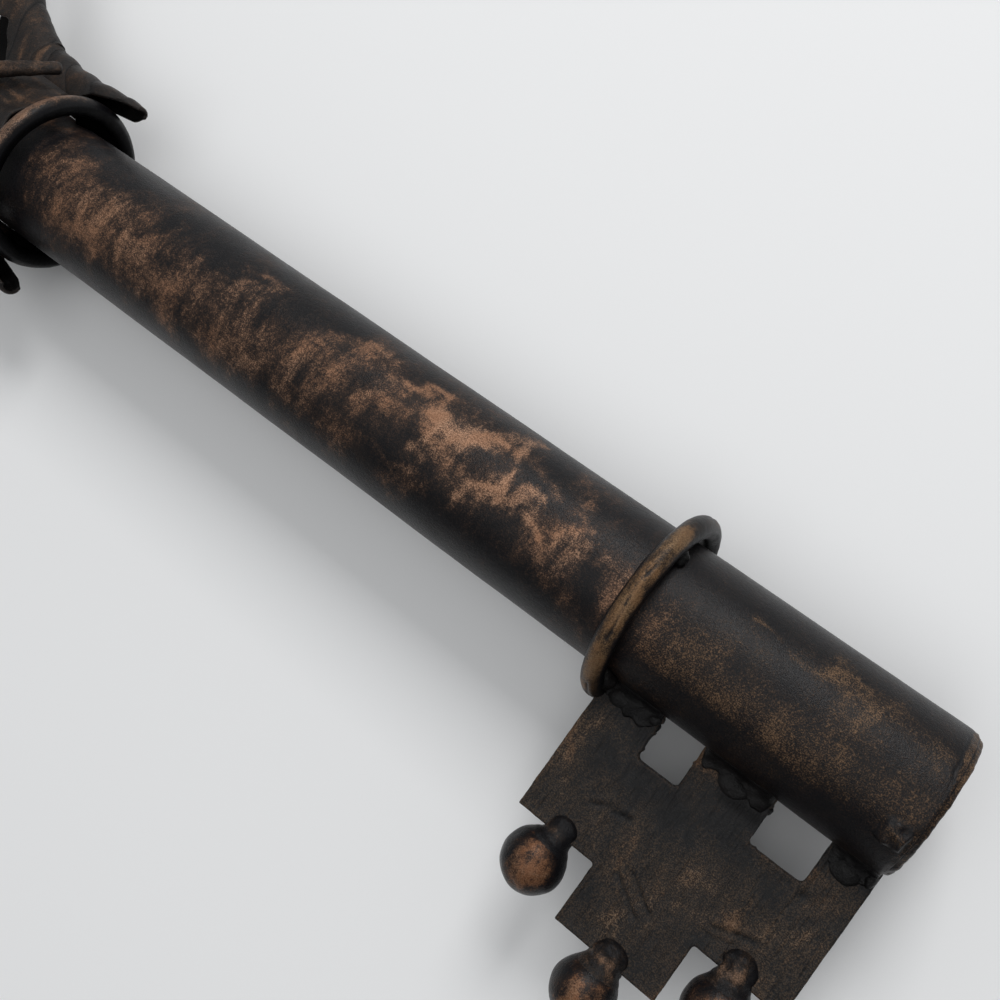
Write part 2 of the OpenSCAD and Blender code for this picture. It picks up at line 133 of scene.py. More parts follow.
# Meshes. A shell is its points, its faces, and how far each point is rubbed back; values far below
# nought mark painted shade.
def wrapped(at, rub_and_shade=0.0, joined=False):
    """Closed shell from a grid of points: each row is a ring, neighbours are joined by faces, and
    the first and last rings meet each other or are closed on their own middles."""
    m, k = at.shape[:2]
    i, j = grid(np.arange(m if joined else m - 1), np.arange(k))
    a, b = i * k + j, i * k + (j + 1) % k
    c, d = (i + 1) % m * k + (j + 1) % k, (i + 1) % m * k + j
    faces = beside(a, b, c, d).reshape(-1, 4).tolist()
    points, wear_and_shade = at.reshape(-1, 3), np.broadcast_to(rub_and_shade, (m, k)).reshape(-1)
    if not joined:
        points = np.vstack([points, at[0].mean(0), at[-1].mean(0)])
        wear_and_shade = np.concatenate([wear_and_shade, [wear_and_shade[:k].mean(), wear_and_shade[-k:].mean()]])
        ring = np.arange(k)
        first = beside(m * k, (ring + 1) % k, ring)
        last = beside(m * k + 1, (m - 1) * k + ring, (m - 1) * k + (ring + 1) % k)
        faces += first.tolist() + last.tolist()
    return points, faces, wear_and_shade


def round_edge(d, r):
    """Half thickness of a sheet near its edge as a share: a quarter circle over the first r mm."""
    return np.sqrt(np.clip(1 - (1 - np.clip(d / r, 0, 1)) ** 2, 0, 1))


def pressed(at, thick, rub_and_shade=0.0, under_rub_and_shade=-0.4):
    """Closed thin sheet on a grid of middle points: both faces stand half the thickness off along
    the grid's own normals, thinned to nothing by round_edge, so they share the rim's points.
    The under side gets one even rub value; set far below nought, it paints the under side matt
    black as painted shade."""
    m, k = at.shape[:2]
    down, across = np.gradient(at, axis=0), np.gradient(at, axis=1)
    normal = unit(np.cross(across, down))
    step_a = np.linalg.norm(np.diff(at, axis=0), axis=-1)
    step_b = np.linalg.norm(np.diff(at, axis=1), axis=-1)
    run_a = np.vstack([np.zeros((1, k)), np.cumsum(step_a, 0)])
    run_b = np.hstack([np.zeros((m, 1)), np.cumsum(step_b, 1)])
    rim = np.minimum(np.minimum(run_a, run_a[-1] - run_a), np.minimum(run_b, run_b[:, -1:] - run_b))
    off = normal * (thick / 2 * round_edge(rim, thick / 2))[..., None]
    number = np.arange(m * k).reshape(m, k)
    inside = np.zeros((m, k), bool)
    inside[1:-1, 1:-1] = True
    under = number.copy()
    under[inside] = m * k + np.arange(inside.sum())
    points = np.vstack([(at + off).reshape(-1, 3), (at - off)[inside]])
    wear_and_shade = np.broadcast_to(rub_and_shade, (m, k)).astype(float)
    wear_and_shade = np.concatenate([wear_and_shade.reshape(-1), np.full(inside.sum(), under_rub_and_shade)])
    top = beside(number[:-1, :-1], number[:-1, 1:], number[1:, 1:], number[1:, :-1])
    low = beside(under[:-1, :-1], under[1:, :-1], under[1:, 1:], under[:-1, 1:])
    return points, np.vstack([top.reshape(-1, 4), low.reshape(-1, 4)]).tolist(), wear_and_shade


def mirrored(shell):
    """The same shell on the shank's other side: y changes sign and the faces are turned round."""
    points, faces, wear_and_shade = shell
    return points * [1, -1, 1], [f[::-1] for f in faces], wear_and_shade


def placed(name, data):
    """An object with this data, put into the scene."""
    made = bpy.data.objects.new(name, data)
    bpy.context.scene.collection.objects.link(made)
    return made


def piece(name, shells, finish, slot, *nodes):
    """One finished piece from shells: moved up from the shank's axis, put into metres, smoothed."""
    points, faces, wear_and_shade, count = [], [], [], 0
    for part_points, part_faces, part_wear_and_shade in shells:
        points.append(part_points)
        wear_and_shade.append(part_wear_and_shade)
        faces += [[n + count for n in f] for f in part_faces]
        count += len(part_points)
    place = (np.vstack(points) + [0, 0, AXIS_Z]) * 0.001
    mesh = bpy.data.meshes.new(name)
    mesh.from_pydata(place.tolist(), [], faces)
    mesh.polygons.foreach_set("use_smooth", np.ones(len(faces), bool))
    rub_and_shade = mesh.attributes.new("rub_and_shade", "FLOAT", "POINT")
    rub_and_shade.data.foreach_set("value", np.concatenate(wear_and_shade).astype(np.float32))
    mesh.update()
    made = placed(name, mesh)
    mesh.materials.append(finish)
    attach(made, "root")
    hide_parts(*nodes)


# Finishes: black paint over a brown undercoat, rubbed back to copper in places.
def joint(tree, kind, feeds, out=0, **settings):
    """One shader node: settings are its choices, and a feed is a plain value or another output."""
    made = tree.nodes.new("ShaderNode" + kind)
    for key, value in settings.items():
        setattr(made, key, value)
    for key, value in feeds.items():
        if isinstance(value, bpy.types.NodeSocket):
            tree.links.new(value, made.inputs[key])
        else:
            made.inputs[key].default_value = value
    return made.outputs[out]


def blend(share, colour, more=0.0, other=(0.0, 0.0, 0.0)):
    """A share of one colour plus a share of another."""
    return (*[share * a + more * b for a, b in zip(colour, other)], 1)


# Matt black with no reflection, for rub values far below nought: painted shade in hollows, creases,
# undersides and gaps.
SHADE_BLACK = (0.0012, 0.0011, 0.0012, 1)
METAL = 0.3  # how metallic a whole film is
GLOSS = 0.18  # specular level of the skin, away from the painted shade
TIP_FROM, TIP_TO = 0.185, 0.215  # where copper turns to gold, in metres along the shank


def aged_paint(name, black, brown, copper, pale, *, bare=0.0, drift=42.0, smear=70.0, speck=2800.0,
               grain=0.12, shine=0.38, dull=0.5, relief=1.0, brushed=0.0, veiled=0.16, gold=None):
    """Layers, from below: black paint clouded with brown and full of fine grain, a brown veil, then
    a soft film of copper. Each shows where a sum is high enough: the piece's own rub value plus a
    share each of clouds, slanted smears and streaks, grit and specks. Far below nought, the rub
    value means matt black with no reflection, which is painted shade. With a gold colour, the film
    turns to it by the tip, where smears are weaker and specks stronger."""
    made = bpy.data.materials.new(name)
    made.use_nodes = True
    tree = made.node_tree
    tree.nodes.clear()
    spot = joint(tree, "TexCoord", {}, 3)
    rub_and_shade = joint(tree, "Attribute", {}, 2, attribute_name="rub_and_shade", attribute_type="GEOMETRY")

    def noise(scale, detail=2.0, rough=0.55, twist=0.0, where=spot):
        return joint(tree, "TexNoise", {"Vector": where, "Scale": scale, "Detail": detail,
                                        "Roughness": rough, "Distortion": twist})

    def pulled(rotation, scale):
        return joint(tree, "Mapping", {"Vector": spot, "Rotation": rotation, "Scale": scale})

    def maths(operation, *values):
        return joint(tree, "Math", dict(enumerate(values)), operation=operation)

    def ramp(value, low, high, to_low=0.0, to_high=1.0):
        return joint(tree, "MapRange", {"Value": value, "From Min": low, "From Max": high,
                                        "To Min": to_low, "To Max": to_high},
                     interpolation_type="SMOOTHSTEP")

    def mix(share, a, b):
        return joint(tree, "Mix", {0: share, 6: a, 7: b}, 2, data_type="RGBA")

    slanted = pulled((0.15, 0.1, -0.5), (1.0, 0.38, 0.8))
    clouds = noise(drift, 3.0, 0.6, 0.8)
    smears = noise(smear, 4.0, 0.65, 0.3, slanted)
    streaks = noise(smear * 3.2, 3.0, 0.6, 0.3, slanted)
    specks = noise(speck, 2.0, 0.7)
    grit = noise(speck * 0.3, 3.0, 0.7)

    base, smeared, flecked = bare - 2.85, 1.9, 1.2
    if gold:
        along = joint(tree, "SeparateXYZ", {0: spot}, 0)
        tip = ramp(along, TIP_FROM, TIP_TO)
        base, smeared, flecked = (
            ramp(along, 0.19, 0.205, share, share + more)
            for share, more in ((base, 0.2), (smeared, -1.1), (flecked, 0.8)))
    wear = maths("ADD", rub_and_shade, base)
    for feed in ((clouds, 0.9), (smears, smeared), (streaks, 0.8), (grit, 0.9), (specks, flecked)):
        wear = maths("MULTIPLY_ADD", *feed, wear)
    film = ramp(wear, 0.23, 0.95)
    haze = ramp(wear, -0.14, 0.54)
    fine = ramp(specks, 0.41, 0.62)

    veil = blend(0.6, brown, veiled, copper)
    if gold:
        veil = mix(tip, veil, blend(0.4, brown, 0.06, gold))
    ground = mix(haze, mix(ramp(clouds, 0.5, 0.82), blend(1, black), blend(1, brown)), veil)
    grained = maths("MULTIPLY", fine, ramp(wear, -0.6, 0.3, 0.12 * grain, 1.15 * grain))
    ground = mix(grained, ground, blend(0.8, brown, 0.16, pale))
    bright = mix(fine, blend(1, copper), blend(1, pale))
    warm = [c * k for c, k in zip(copper, (1.6, 1.4, 1.2))]
    bright = mix(ramp(clouds, 0.4, 0.62, 0, 0.55), bright, blend(1, warm))
    if gold:
        bright = mix(tip, bright, mix(fine, blend(0.45, gold), blend(1, gold)))
    # Rub values far below nought turn the colour to matt black: painted shade.
    colour = mix(ramp(rub_and_shade, -1.0, -0.5), SHADE_BLACK, mix(film, ground, bright))

    rough = ramp(clouds, 0.3, 0.75, shine, shine + 0.1)
    rough = joint(tree, "Mix", {0: film, 2: rough, 3: dull}, data_type="FLOAT")
    rough = maths("SUBTRACT", maths("MULTIPLY_ADD", grit, 0.12, rough), 0.06)

    height = maths("MULTIPLY_ADD", specks, 0.7, maths("MULTIPLY", grit, 0.8))
    height = maths("MULTIPLY_ADD", smears, 0.7, height)
    if brushed:
        marks = pulled((0.0, 0.0, 0.62), (1.0, 0.09, 1.0))
        cross = pulled((0.0, 0.0, -0.9), (1.0, 0.12, 1.0))
        lines = mix(ramp(noise(55.0), 0.42, 0.6), noise(620.0, 2.0, 0.6, 0.2, marks),
                    noise(520.0, 2.0, 0.6, 0.2, cross))
        height = maths("MULTIPLY_ADD", lines, brushed, height)
    bump = joint(tree, "Bump", {"Strength": 0.7, "Distance": 0.00022 * relief, "Height": height})
    # Where the rub value is far below nought, reflection is turned off too, for the painted shade.
    skin = joint(tree, "BsdfPrincipled", {
        "Base Color": colour, "Roughness": rough, "Normal": bump,
        "Metallic": maths("MULTIPLY", film, METAL),
        "Specular IOR Level": ramp(rub_and_shade, -1.0, -0.5, 0.0, GLOSS)})
    joint(tree, "OutputMaterial", {"Surface": skin}, slice(0, 0))
    return made


SOOT = (0.003, 0.0031, 0.0042)
UNDERCOAT = (0.0115, 0.008, 0.0072)
COPPER = (0.145, 0.077, 0.046)
PALE = (0.38, 0.222, 0.14)
PLAIN = (SOOT, UNDERCOAT, COPPER, PALE)
RODS = (SOOT, (0.02, 0.013, 0.009), (0.1, 0.058, 0.03), (0.19, 0.118, 0.062))

shank_paint = aged_paint("shank_paint", *PLAIN, bare=-0.14, shine=0.34, veiled=0.22,
                         gold=(0.15, 0.09, 0.051))
collar_paint = aged_paint("collar_paint", *RODS, smear=140, drift=90, shine=0.34, dull=0.4)
upper_collar_paint = aged_paint(
    "upper_collar_paint", SOOT, (0.012, 0.009, 0.007), (0.1, 0.058, 0.038), (0.22, 0.138, 0.095),
    smear=140, drift=90, shine=0.34, dull=0.4)
bit_paint = aged_paint(
    "bit_paint", (0.0066, 0.0069, 0.0077), (0.0125, 0.0098, 0.0082), (0.065, 0.037, 0.022),
    (0.21, 0.14, 0.09), smear=110, drift=60, speck=2700, grain=0.85, shine=0.43, relief=2,
    brushed=3.4)
ball_paint = aged_paint("ball_paint", SOOT, UNDERCOAT, (0.1, 0.046, 0.023), (0.2, 0.112, 0.066),
                        smear=170, drift=150, grain=0.08, shine=0.27, dull=0.36)
weld_paint = aged_paint("weld_paint", (0.0036, 0.0034, 0.0036), (0.008, 0.006, 0.0055), COPPER,
                        PALE, bare=-0.45, grain=0.05, shine=0.28, relief=2)
stem_paint = aged_paint("stem_paint", SOOT, (0.012, 0.009, 0.0075), (0.09, 0.054, 0.034),
                        (0.18, 0.112, 0.075), smear=150, shine=0.36, relief=1.8)
bar_paint = aged_paint("bar_paint", *PLAIN, smear=120)
leaf_paint = aged_paint(
    "leaf_paint", (0.0075, 0.0068, 0.0068), (0.02, 0.014, 0.011), (0.06, 0.035, 0.022),
    (0.15, 0.09, 0.058), smear=130, drift=80, grain=0.35, shine=0.42, relief=1.6, brushed=0.5)
band_paint = aged_paint("band_paint", *RODS, smear=140, drift=90)


# Shank
# Strokes on the tube: from x and turn to x and turn, in mm and degrees from its top, then width
# and strength. Broad brown films come first, then bare copper, then gold by the tip.
SHANK_STROKES = (
    (-31, 2, -3, 4, 12, 0.52), (-4, -17, 30, -8, 9, 0.43), (30, -5, 85, -4, 10, 0.31),
    (84, 4, 124, 12, 10, 0.36), (115, 5, 173, -10, 9, 0.38), (83, 21, 152, 44, 5, 0.3),
    (23, -28, 97, -30, 7, 0.33), (-28, -26, 26, -34, 7, 0.31), (105, -30, 130, -30, 4, 0.32),
    (165, 8, 189, -2, 6, 0.32), (-38, 8, -20, -20, 7, 0.45),
    (-13, -18, -7, 17, 3, 0.55), (-3, -24, 11, 2, 4, 0.5), (10, -10, 20, 30, 2.6, 0.46),
    (16, -17, 17, -3, 3, 0.42), (34, 18, 55, 16, 2.2, 0.32), (57, 0, 57, 30, 2, 0.36),
    (42, 34, 59, 39, 2, 0.34), (83, -6, 85, 16, 2.2, 0.44), (83, 30, 95, 34, 2.2, 0.4),
    (100, 4, 117, 16, 3.2, 0.55), (107, 32, 121, 37, 2.8, 0.68), (119, 8, 126, 3, 3.2, 0.52),
    (119, 19, 138, 33, 3.8, 0.76), (125, -5, 131, 33, 3, 0.68), (142, -12, 149, 18, 2.7, 0.8),
    (145, 31, 147, 49, 2.6, 0.5), (152, 2, 161, 10, 3.6, 0.72), (159, -12, 167, -10, 3.2, 0.72),
    (169, -6, 173, 22, 2.6, 0.5), (174, -8, 182, 6, 2.4, 0.42), (112, -27, 126, -28, 2.5, 0.42),
    (137, -10, 144, -13, 2.6, 0.52), (154, 36, 164, 25, 2.6, 0.4),
    (206, -16, 264, -18, 13, 0.32), (203, -22, 224, -26, 8, 0.36), (211, -3, 229, -12, 7, 0.32),
    (224, -20, 245, -20, 9, 0.32), (242, -11, 266, -14, 9, 0.3), (220, 29, 226, 30, 1.8, 0.6),
    (233, 36, 253, 34, 4, 0.42), (249, 26, 269, 20, 6, 0.26), (263, -8, 275, 4, 7, 0.3),
    (262, 30, 277, 25, 5, 0.28),
)


def about(x, r, a):
    """Points round the shank's axis: x, r sin a, r cos a, with a from its top towards +y."""
    return beside(x, r * np.sin(a), r * np.cos(a))


def shank_rubs_and_shade(x, turn):
    """Strokes, bent out of line by dents, less a painted shade on the tube's lower flank over the
    bit.
    """
    at = about(x, TUBE_R, turn)
    x = x + 4 * dented(at, 16, 6) + 1.4 * dented(at, 5, 7)
    arc = TUBE_R * turn + 4 * dented(at, 14, 8) + 1.4 * dented(at, 4.5, 9)
    marks = [(x0, np.radians(a0) * TUBE_R, x1, np.radians(a1) * TUBE_R, width, strength)
             for x0, a0, x1, a1, width, strength in SHANK_STROKES]
    # Painted shade: past the lower collar, the flank that turns down towards the bit is pushed to
    # matt black.
    corner = smooth(-30, -54, np.degrees(turn)) * smooth(196, 205, x)
    return 1.3 * strokes(x, arc, marks) - 1.15 * corner


def shank():
    """Tube with slight dents: a closed profile, outside from the tip to the bow, over a rounded lip
    and back inside, carried round the axis. By the tip it is ground down past a wandering line,
    and a square lump of weld with a notch in it stands there."""
    fine_to, half_to = TIP_X - 6, TIP_X - 12
    outer = np.concatenate([np.arange(TIP_X, fine_to, -0.3), np.arange(fine_to, half_to, -0.6),
                            np.arange(half_to, TUBE_X0 + 1, -1.2)])
    lip, lip_r = np.radians(np.arange(0, 181, 30)), 0.6
    x = np.concatenate([outer, TUBE_X0 + lip_r - lip_r * np.sin(lip), [TUBE_X0 + 1, 0, TIP_X]])
    r = np.concatenate([np.full(len(outer), TUBE_R), TUBE_R - lip_r + lip_r * np.cos(lip),
                        np.full(3, TUBE_R - TUBE_WALL)])
    r[len(outer) + 4:] = np.minimum(r[len(outer) + 4:], TUBE_R - 2 * lip_r)
    xx, aa = grid(x, circle(180))
    rr = np.broadcast_to(r[:, None], xx.shape)
    at = about(xx, rr, aa)
    turn = (aa + np.pi) % (2 * np.pi) - np.pi
    sunk = 0.05 * (dented(at, 46, 3) - 1) + 0.02 * (dented(at, 9, 4) - 1)
    flat = at * [0, 1, 1]
    past = xx - (TIP_X - 1.9 + 0.9 * dented(flat, 13, 16) + 0.3 * dented(flat, 3, 17))
    upper = smooth(0.1, 0.5, turn) * smooth(1.3, 0.9, turn)
    seam = np.exp(-(past / 0.4) ** 2) * (0.15 + 0.85 * upper)
    ground_off = 0.16 * seam + 0.4 * smooth(0, 2.4, past) * (1 + 0.3 * dented(at, 3, 18))
    lump_x, lump_arc, notch_arc = 273.2, -10.6, -8.2
    arc = turn * TUBE_R
    from_lump = np.maximum(abs(xx - lump_x) / 3.6, abs(arc - lump_arc) / 3.2)
    tack = 1.6 * smooth(1, 0.78, from_lump + 0.12 * dented(at, 4, 5))
    notch = 0.6 * tack * np.exp(-((arc - notch_arc) / 0.9) ** 2)
    tack = tack * (1 + 0.3 * dented(at, 2.4, 19)) - notch
    rr = rr + np.where(rr > TUBE_R - 0.1, sunk + tack - ground_off, 0)
    at = about(xx, rr, aa)
    rub_and_shade = shank_rubs_and_shade(xx, turn) * smooth(0, 5, abs(xx - LOWER_X))
    rim = (0.35 + 0.4 * smooth(0.2, 0.8, turn)) * smooth(0.1, 0.9, past)
    rim = rim * (0.85 + 0.3 * dented(at, 5, 20))
    crest = 0.5 * smooth(0.8, 1.5, tack) - 0.4 * smooth(0, 0.3, tack)
    return wrapped(at, np.maximum(rub_and_shade, rim) - 0.6 * seam + crest, joined=True)


def lathe(profile, seed, dent, size, turns):
    """Points (x, r) carried round the shank's axis, with dents that only ever go inwards."""
    x, r = np.asarray(profile, float).T[..., None]
    a = circle(turns)
    r = r * (1 - dent * (1 - dented(about(x, r, a), size, seed)) / 2 / TUBE_R)
    return about(x, r, a)


def tip_cap():
    """Cap over the tip end. Its rim, a slight cone that ends in a quarter circle, is dented and cut
    back unevenly; the face is dished by 0.3 mm."""
    t = np.radians(np.arange(0, 91, 15))
    rim_r = 1.1
    rim = beside(CAP - rim_r + rim_r * np.sin(t), TUBE_R - 1.75 + rim_r * np.cos(t))
    face = [(CAP - 0.3 * (1 - (r / 19.8) ** 2), r) for r in (19.4, 18.4, 16, 13, 9, 5, 2, 0.4)]
    back = [(-4, 0.4), (-4, 18.4), (-0.2, 18.45), (-0.2, 20.5), (0.3, 20.5)]
    at = lathe(np.vstack([back, rim, face]) + [TIP_X, 0], 11, 0.4, 5, 240)
    edge = smooth(0, 0.9, at[..., 0] - TIP_X) * smooth(16, 19, np.hypot(at[..., 1], at[..., 2]))
    cut = 0.14 * edge * (dented(at, 5, 12) + 1) + 0.09 * edge * (dented(at, 1.8, 13) + 1)
    at = at * (1 - beside(0, cut, cut) / TUBE_R) - beside(cut / 2, 0, 0)
    # Painted light: the rim's copper is stronger on the side that faces the window lamp, up and
    # towards +y.
    lit = smooth(-0.2, 0.9, at @ [0, 0.64, 0.77] / TUBE_R)
    return wrapped(at, 0.12 + (0.2 + 0.4 * lit) * edge * (0.8 + 0.4 * dented(at, 5, 14)))


def end_disc():
    """Disc in the bow end of the tube, with a weld bead round the centre bar."""
    profile = [(5, 4.9), (5, 18.4), (0.9, 18.4), (0.6, 18.1), (0.6, 8.2), (-0.4, 7.4), (-1.4, 6.2),
               (-1.9, 5.1), (-1.9, 4.4)]
    return wrapped(lathe(np.add(profile, (TUBE_X0, 0)), 15, 0.5, 4, 96)[::-1], 0.05, joined=True)


def collar(middle_x, ring_r, lean, seed, seamed, crest, wide, lit_from, lit_to):
    """Rod bent to a ring: a circle about each point of a larger circle, pressed in by dents and a
    wandering seam. A strip of it, some way round the rod and so many radians wide, is rubbed
    between two angles round the shank, and its far sides are pushed towards matt black as painted
    shade."""
    aa, bb = grid(circle(360), circle(60))
    middle, out = about(0, ring_r, aa), about(np.sin(bb), np.cos(bb), aa)
    way = (bb + np.pi) % (2 * np.pi) - np.pi
    turn = np.degrees((aa + np.pi) % (2 * np.pi) - np.pi)
    press = 0.1 + 0.07 * dented(middle, 11, seed) + 0.03 * dented(middle + 3 * out, 3, seed + 1)
    wander = 0.3 * dented(middle, 14, seed + 2)
    seam = np.exp(-((way - 0.1 - wander) / 0.12) ** 2)
    seam = seam * smooth(-0.2, 0.3, dented(middle, 9, seed + 3)) * seamed
    at = middle + out * (ROD_R - press - 0.3 * seam)[..., None]
    rub_and_shade = np.exp(-((way - crest) / wide) ** 2) * (1 - 0.9 * seam)
    rub_and_shade = rub_and_shade * (0.85 + 0.3 * dented(at, 7, seed + 4))
    fade = 12
    rub_and_shade = rub_and_shade * smooth(lit_from - fade, lit_from + fade, turn)
    rub_and_shade = rub_and_shade * smooth(lit_to + fade, lit_to - fade, turn)
    # Painted shade: the rod's sides away from the crest, under it and against the tube, go towards
    # matt black.
    rub_and_shade = rub_and_shade - 0.8 * smooth(0.7, 1.5, abs(way - crest))
    c, s = np.cos(np.radians(lean)), np.sin(np.radians(lean))
    x, y, z = np.moveaxis(at, -1, 0)
    at = beside(middle_x + x * c + z * s, y, z * c - x * s)
    return wrapped(at[:, ::-1], rub_and_shade[:, ::-1], joined=True)


def lump(middle, size, seed, rough=0.16):
    """Weld metal: a ball pulled to three half sizes and dented."""
    u, v = grid(np.linspace(0.06, np.pi - 0.06, 18), circle(28))
    ball = beside(np.sin(u) * np.cos(v), np.sin(u) * np.sin(v), np.cos(u))
    at = ball * size
    swell = (1 + rough * dented(at + seed * 3.1, min(size) * 1.5, seed)
             + rough * 0.4 * dented(at, min(size) * 0.6, seed + 7))
    # The lump's lower half is painted nearer matt black than its top: painted shade.
    return wrapped(at * swell[..., None] + middle, -0.68 + 0.4 * smooth(0.2, 1, ball[..., 2]))


def weld_run(low, high, seed):
    """Run of weld in the slack of the upper collar: a circle carried round the shank from one angle
    to another, swollen by dents and rounded off at both ends."""
    a = np.radians(np.linspace(low, high, 90))
    aa, bb = grid(a, circle(28))
    ring_r, run_r = TUBE_R + 1.55, 2.55
    end = round_edge(np.minimum(aa - a[0], a[-1] - aa) * ring_r, 2.6)
    out = about(np.sin(bb), np.cos(bb), aa)
    middle = about(UPPER_X - 1, ring_r, aa)
    skin = middle + 2.5 * out
    swell = 1 + 0.09 * dented(skin, 5, seed) + 0.05 * dented(skin, 2, seed + 1)
    r = run_r * np.maximum(end, 0.03) * swell
    # Painted shade: the whole run is matt black with no reflection, standing in the gap between
    # ring and tube where shade falls.
    return wrapped((middle + out * r[..., None])[:, ::-1], -1.2)


piece("shank_tube_finished", [shank()], shank_paint, "shank", "shank_tube")
piece("tip_cap_ground", [tip_cap()], shank_paint, "shank", "tip_plug")
piece("bow_end_disc", [end_disc()], shank_paint, "shank", "bow_end_plug")
piece("lower_collar_rod", [collar(LOWER_X, LOWER_RING, LOWER_LEAN, 21, 1, 0.15, 0.95, -68, 52)],
      collar_paint, "collars", "lower_collar")
piece("upper_collar_rod", [collar(UPPER_X, UPPER_RING, 0, 31, 0, -0.1, 0.75, -58, 62)],
      upper_collar_paint, "collars", "upper_collar")
piece("lower_collar_welds", [
    lump(about(LOWER_X + shift, ring_r, np.radians(turn)), size, seed)
    for shift, ring_r, turn, size, seed in (
        (0.5, 22.6, -74, (3.8, 3.4, 4.6), 41), (-2.4, 22.4, -96, (3.2, 3, 3.6), 42),
        (0, 22.6, 40, (3, 2.6, 2.6), 43), (0, 22.6, 180, (3.6, 4.4, 3), 44))
], weld_paint, "welds", "lower_collar_tacks")
piece("upper_collar_welds", [weld_run(68, 130, 45), weld_run(-126, -82, 47)], weld_paint, "welds",
      "upper_collar_tacks")


# Bit
# Strokes on its face, from place to place in mm, then width and strength.
BIT_RUBBED = (
    (199, -44, 203, -30, 4.5, 0.42), (227, -24, 234, -25, 2.8, 0.6), (267, -30, 272, -27, 3.4, 0.6),
    (270, -37, 274, -32, 4, 0.38), (245, -50, 257, -44, 4, 0.4), (247, -58, 258, -50, 4, 0.34),
    (226, -60, 240, -62, 6, 0.24), (233, -70, 236, -74, 4, 0.36), (214, -44, 226, -52, 8, 0.12),
    (222, -74, 230, -72, 4, 0.26), (262, -47, 272, -45, 6, 0.34), (205, -56, 212, -50, 6, 0.12),
)
BIT_DARKENED = (
    (206, -37, 224, -41, 6, 0.42), (222, -40, 246, -36, 8, 0.55), (238, -28, 248, -28, 5, 0.7),
    (246, -38, 262, -42, 5, 0.45), (226, -70, 230, -76, 4, 0.3), (250, -61, 262, -61, 3, 0.35),
    (200, -26, 214, -27, 5.5, 0.55), (269, -25, 278, -24, 4, 0.5),
)
# Grooves in its face, the same way, with their depth last; then a pit.
GROOVES = (
    (254.6, -55.8, 264.6, -52, 0.9, 0.4), (254, -58.2, 261, -56, 0.8, 0.25),
    (218.5, -48.8, 223.4, -47.4, 0.7, 0.45), (213, -50.6, 219, -47, 0.6, 0.4),
    (228.5, -60.2, 238, -66.5, 0.8, 0.4), (231.5, -57.8, 240.5, -63.6, 0.7, 0.35),
)
PIT = (267, -35.9, 267.3, -35.7, 0.9, 0.6)
BIT_TOP = -19.9  # hidden in the tube


def bit_inside(x, y):
    """How deep a place lies inside the bit's outline, which is two boxes less two windows; a box's
    depth is the least distance to its four sides."""
    def box_depth(x0, x1, y0, y1):
        return np.minimum(np.minimum(x - x0, x1 - x), np.minimum(y - y0, y1 - y))
    depth = np.maximum(box_depth(BIT_X0, BIT_X1, SHOULDER_Y, BIT_TOP),
                       box_depth(*TONGUE, TONGUE_Y, SHOULDER_Y + 9))
    for x0, x1 in WINDOWS:
        depth = np.minimum(depth, -box_depth(x0, x1, WINDOW_Y, 0))
    return depth


def bit_marks(x, y):
    """Depth of the grooves, each with a raised lip beside it, and the pit in the bit's face."""
    lips = [(x0 - 0.8, y0 + 1.5, x1 - 0.8, y1 + 1.5, width, 0.6 * depth)
            for x0, y0, x1, y1, width, depth in GROOVES]
    return strokes(x, y, (*GROOVES, PIT)) - 0.7 * strokes(x, y, lips)


def bit_path():
    """Outline of the plate, walked anticlockwise: straight runs with a point every 0.5 mm and short
    curves at the corners, all pushed in and out by ragged cutting and a few burrs. With it goes
    the way inwards at each point."""
    corners = [(BIT_X0, BIT_TOP, 0.4), (BIT_X0, SHOULDER_Y, 0.5), (TONGUE[0], SHOULDER_Y, 0.9),
               (TONGUE[0], TONGUE_Y, 0.5), (TONGUE[1], TONGUE_Y, 0.5), (TONGUE[1], SHOULDER_Y, 0.9),
               (BIT_X1, SHOULDER_Y, 0.5), (BIT_X1, BIT_TOP, 0.4)]
    for x0, x1 in WINDOWS[::-1]:
        corners += [(x1, BIT_TOP, 0.4), (x1, WINDOW_Y, 1.6)]
        corners += [(x0, WINDOW_Y, 1.6), (x0, BIT_TOP, 0.4)]
    at = []
    for i, (x, y, r) in enumerate(corners):
        here = np.array([x, y])
        back = here + unit(np.array(corners[i - 1][:2]) - here) * r
        *ahead_at, ahead_r = corners[(i + 1) % len(corners)]
        ahead = unit(ahead_at - here)
        start, end = here + ahead * r, ahead_at - ahead * ahead_r
        at.append(bezier([back, here, start], np.linspace(0, 1, 6)))
        count = max(2, int(np.linalg.norm(end - start) / 0.5))
        t = np.arange(1, count)[:, None] / count
        at.append(start * (1 - t) + end * t)
    at = np.vstack(at)
    run = unit(np.roll(at, -1, 0) - np.roll(at, 1, 0))
    side = beside(-run[:, 1], run[:, 0])
    flat = beside(*at.T, 0)
    ragged = 0.05 * (1 + dented(flat, 7, 51)) + 0.04 * (1 + dented(flat, 1.5, 52))
    near_shank = (at[:, 1] > WINDOW_Y - 1) * (abs(at[:, 0] - 240.4) < 26)
    ragged -= 0.45 * smooth(0.6, 1, dented(flat, 3.2, 53)) * near_shank
    return at + side * ragged[:, None], side


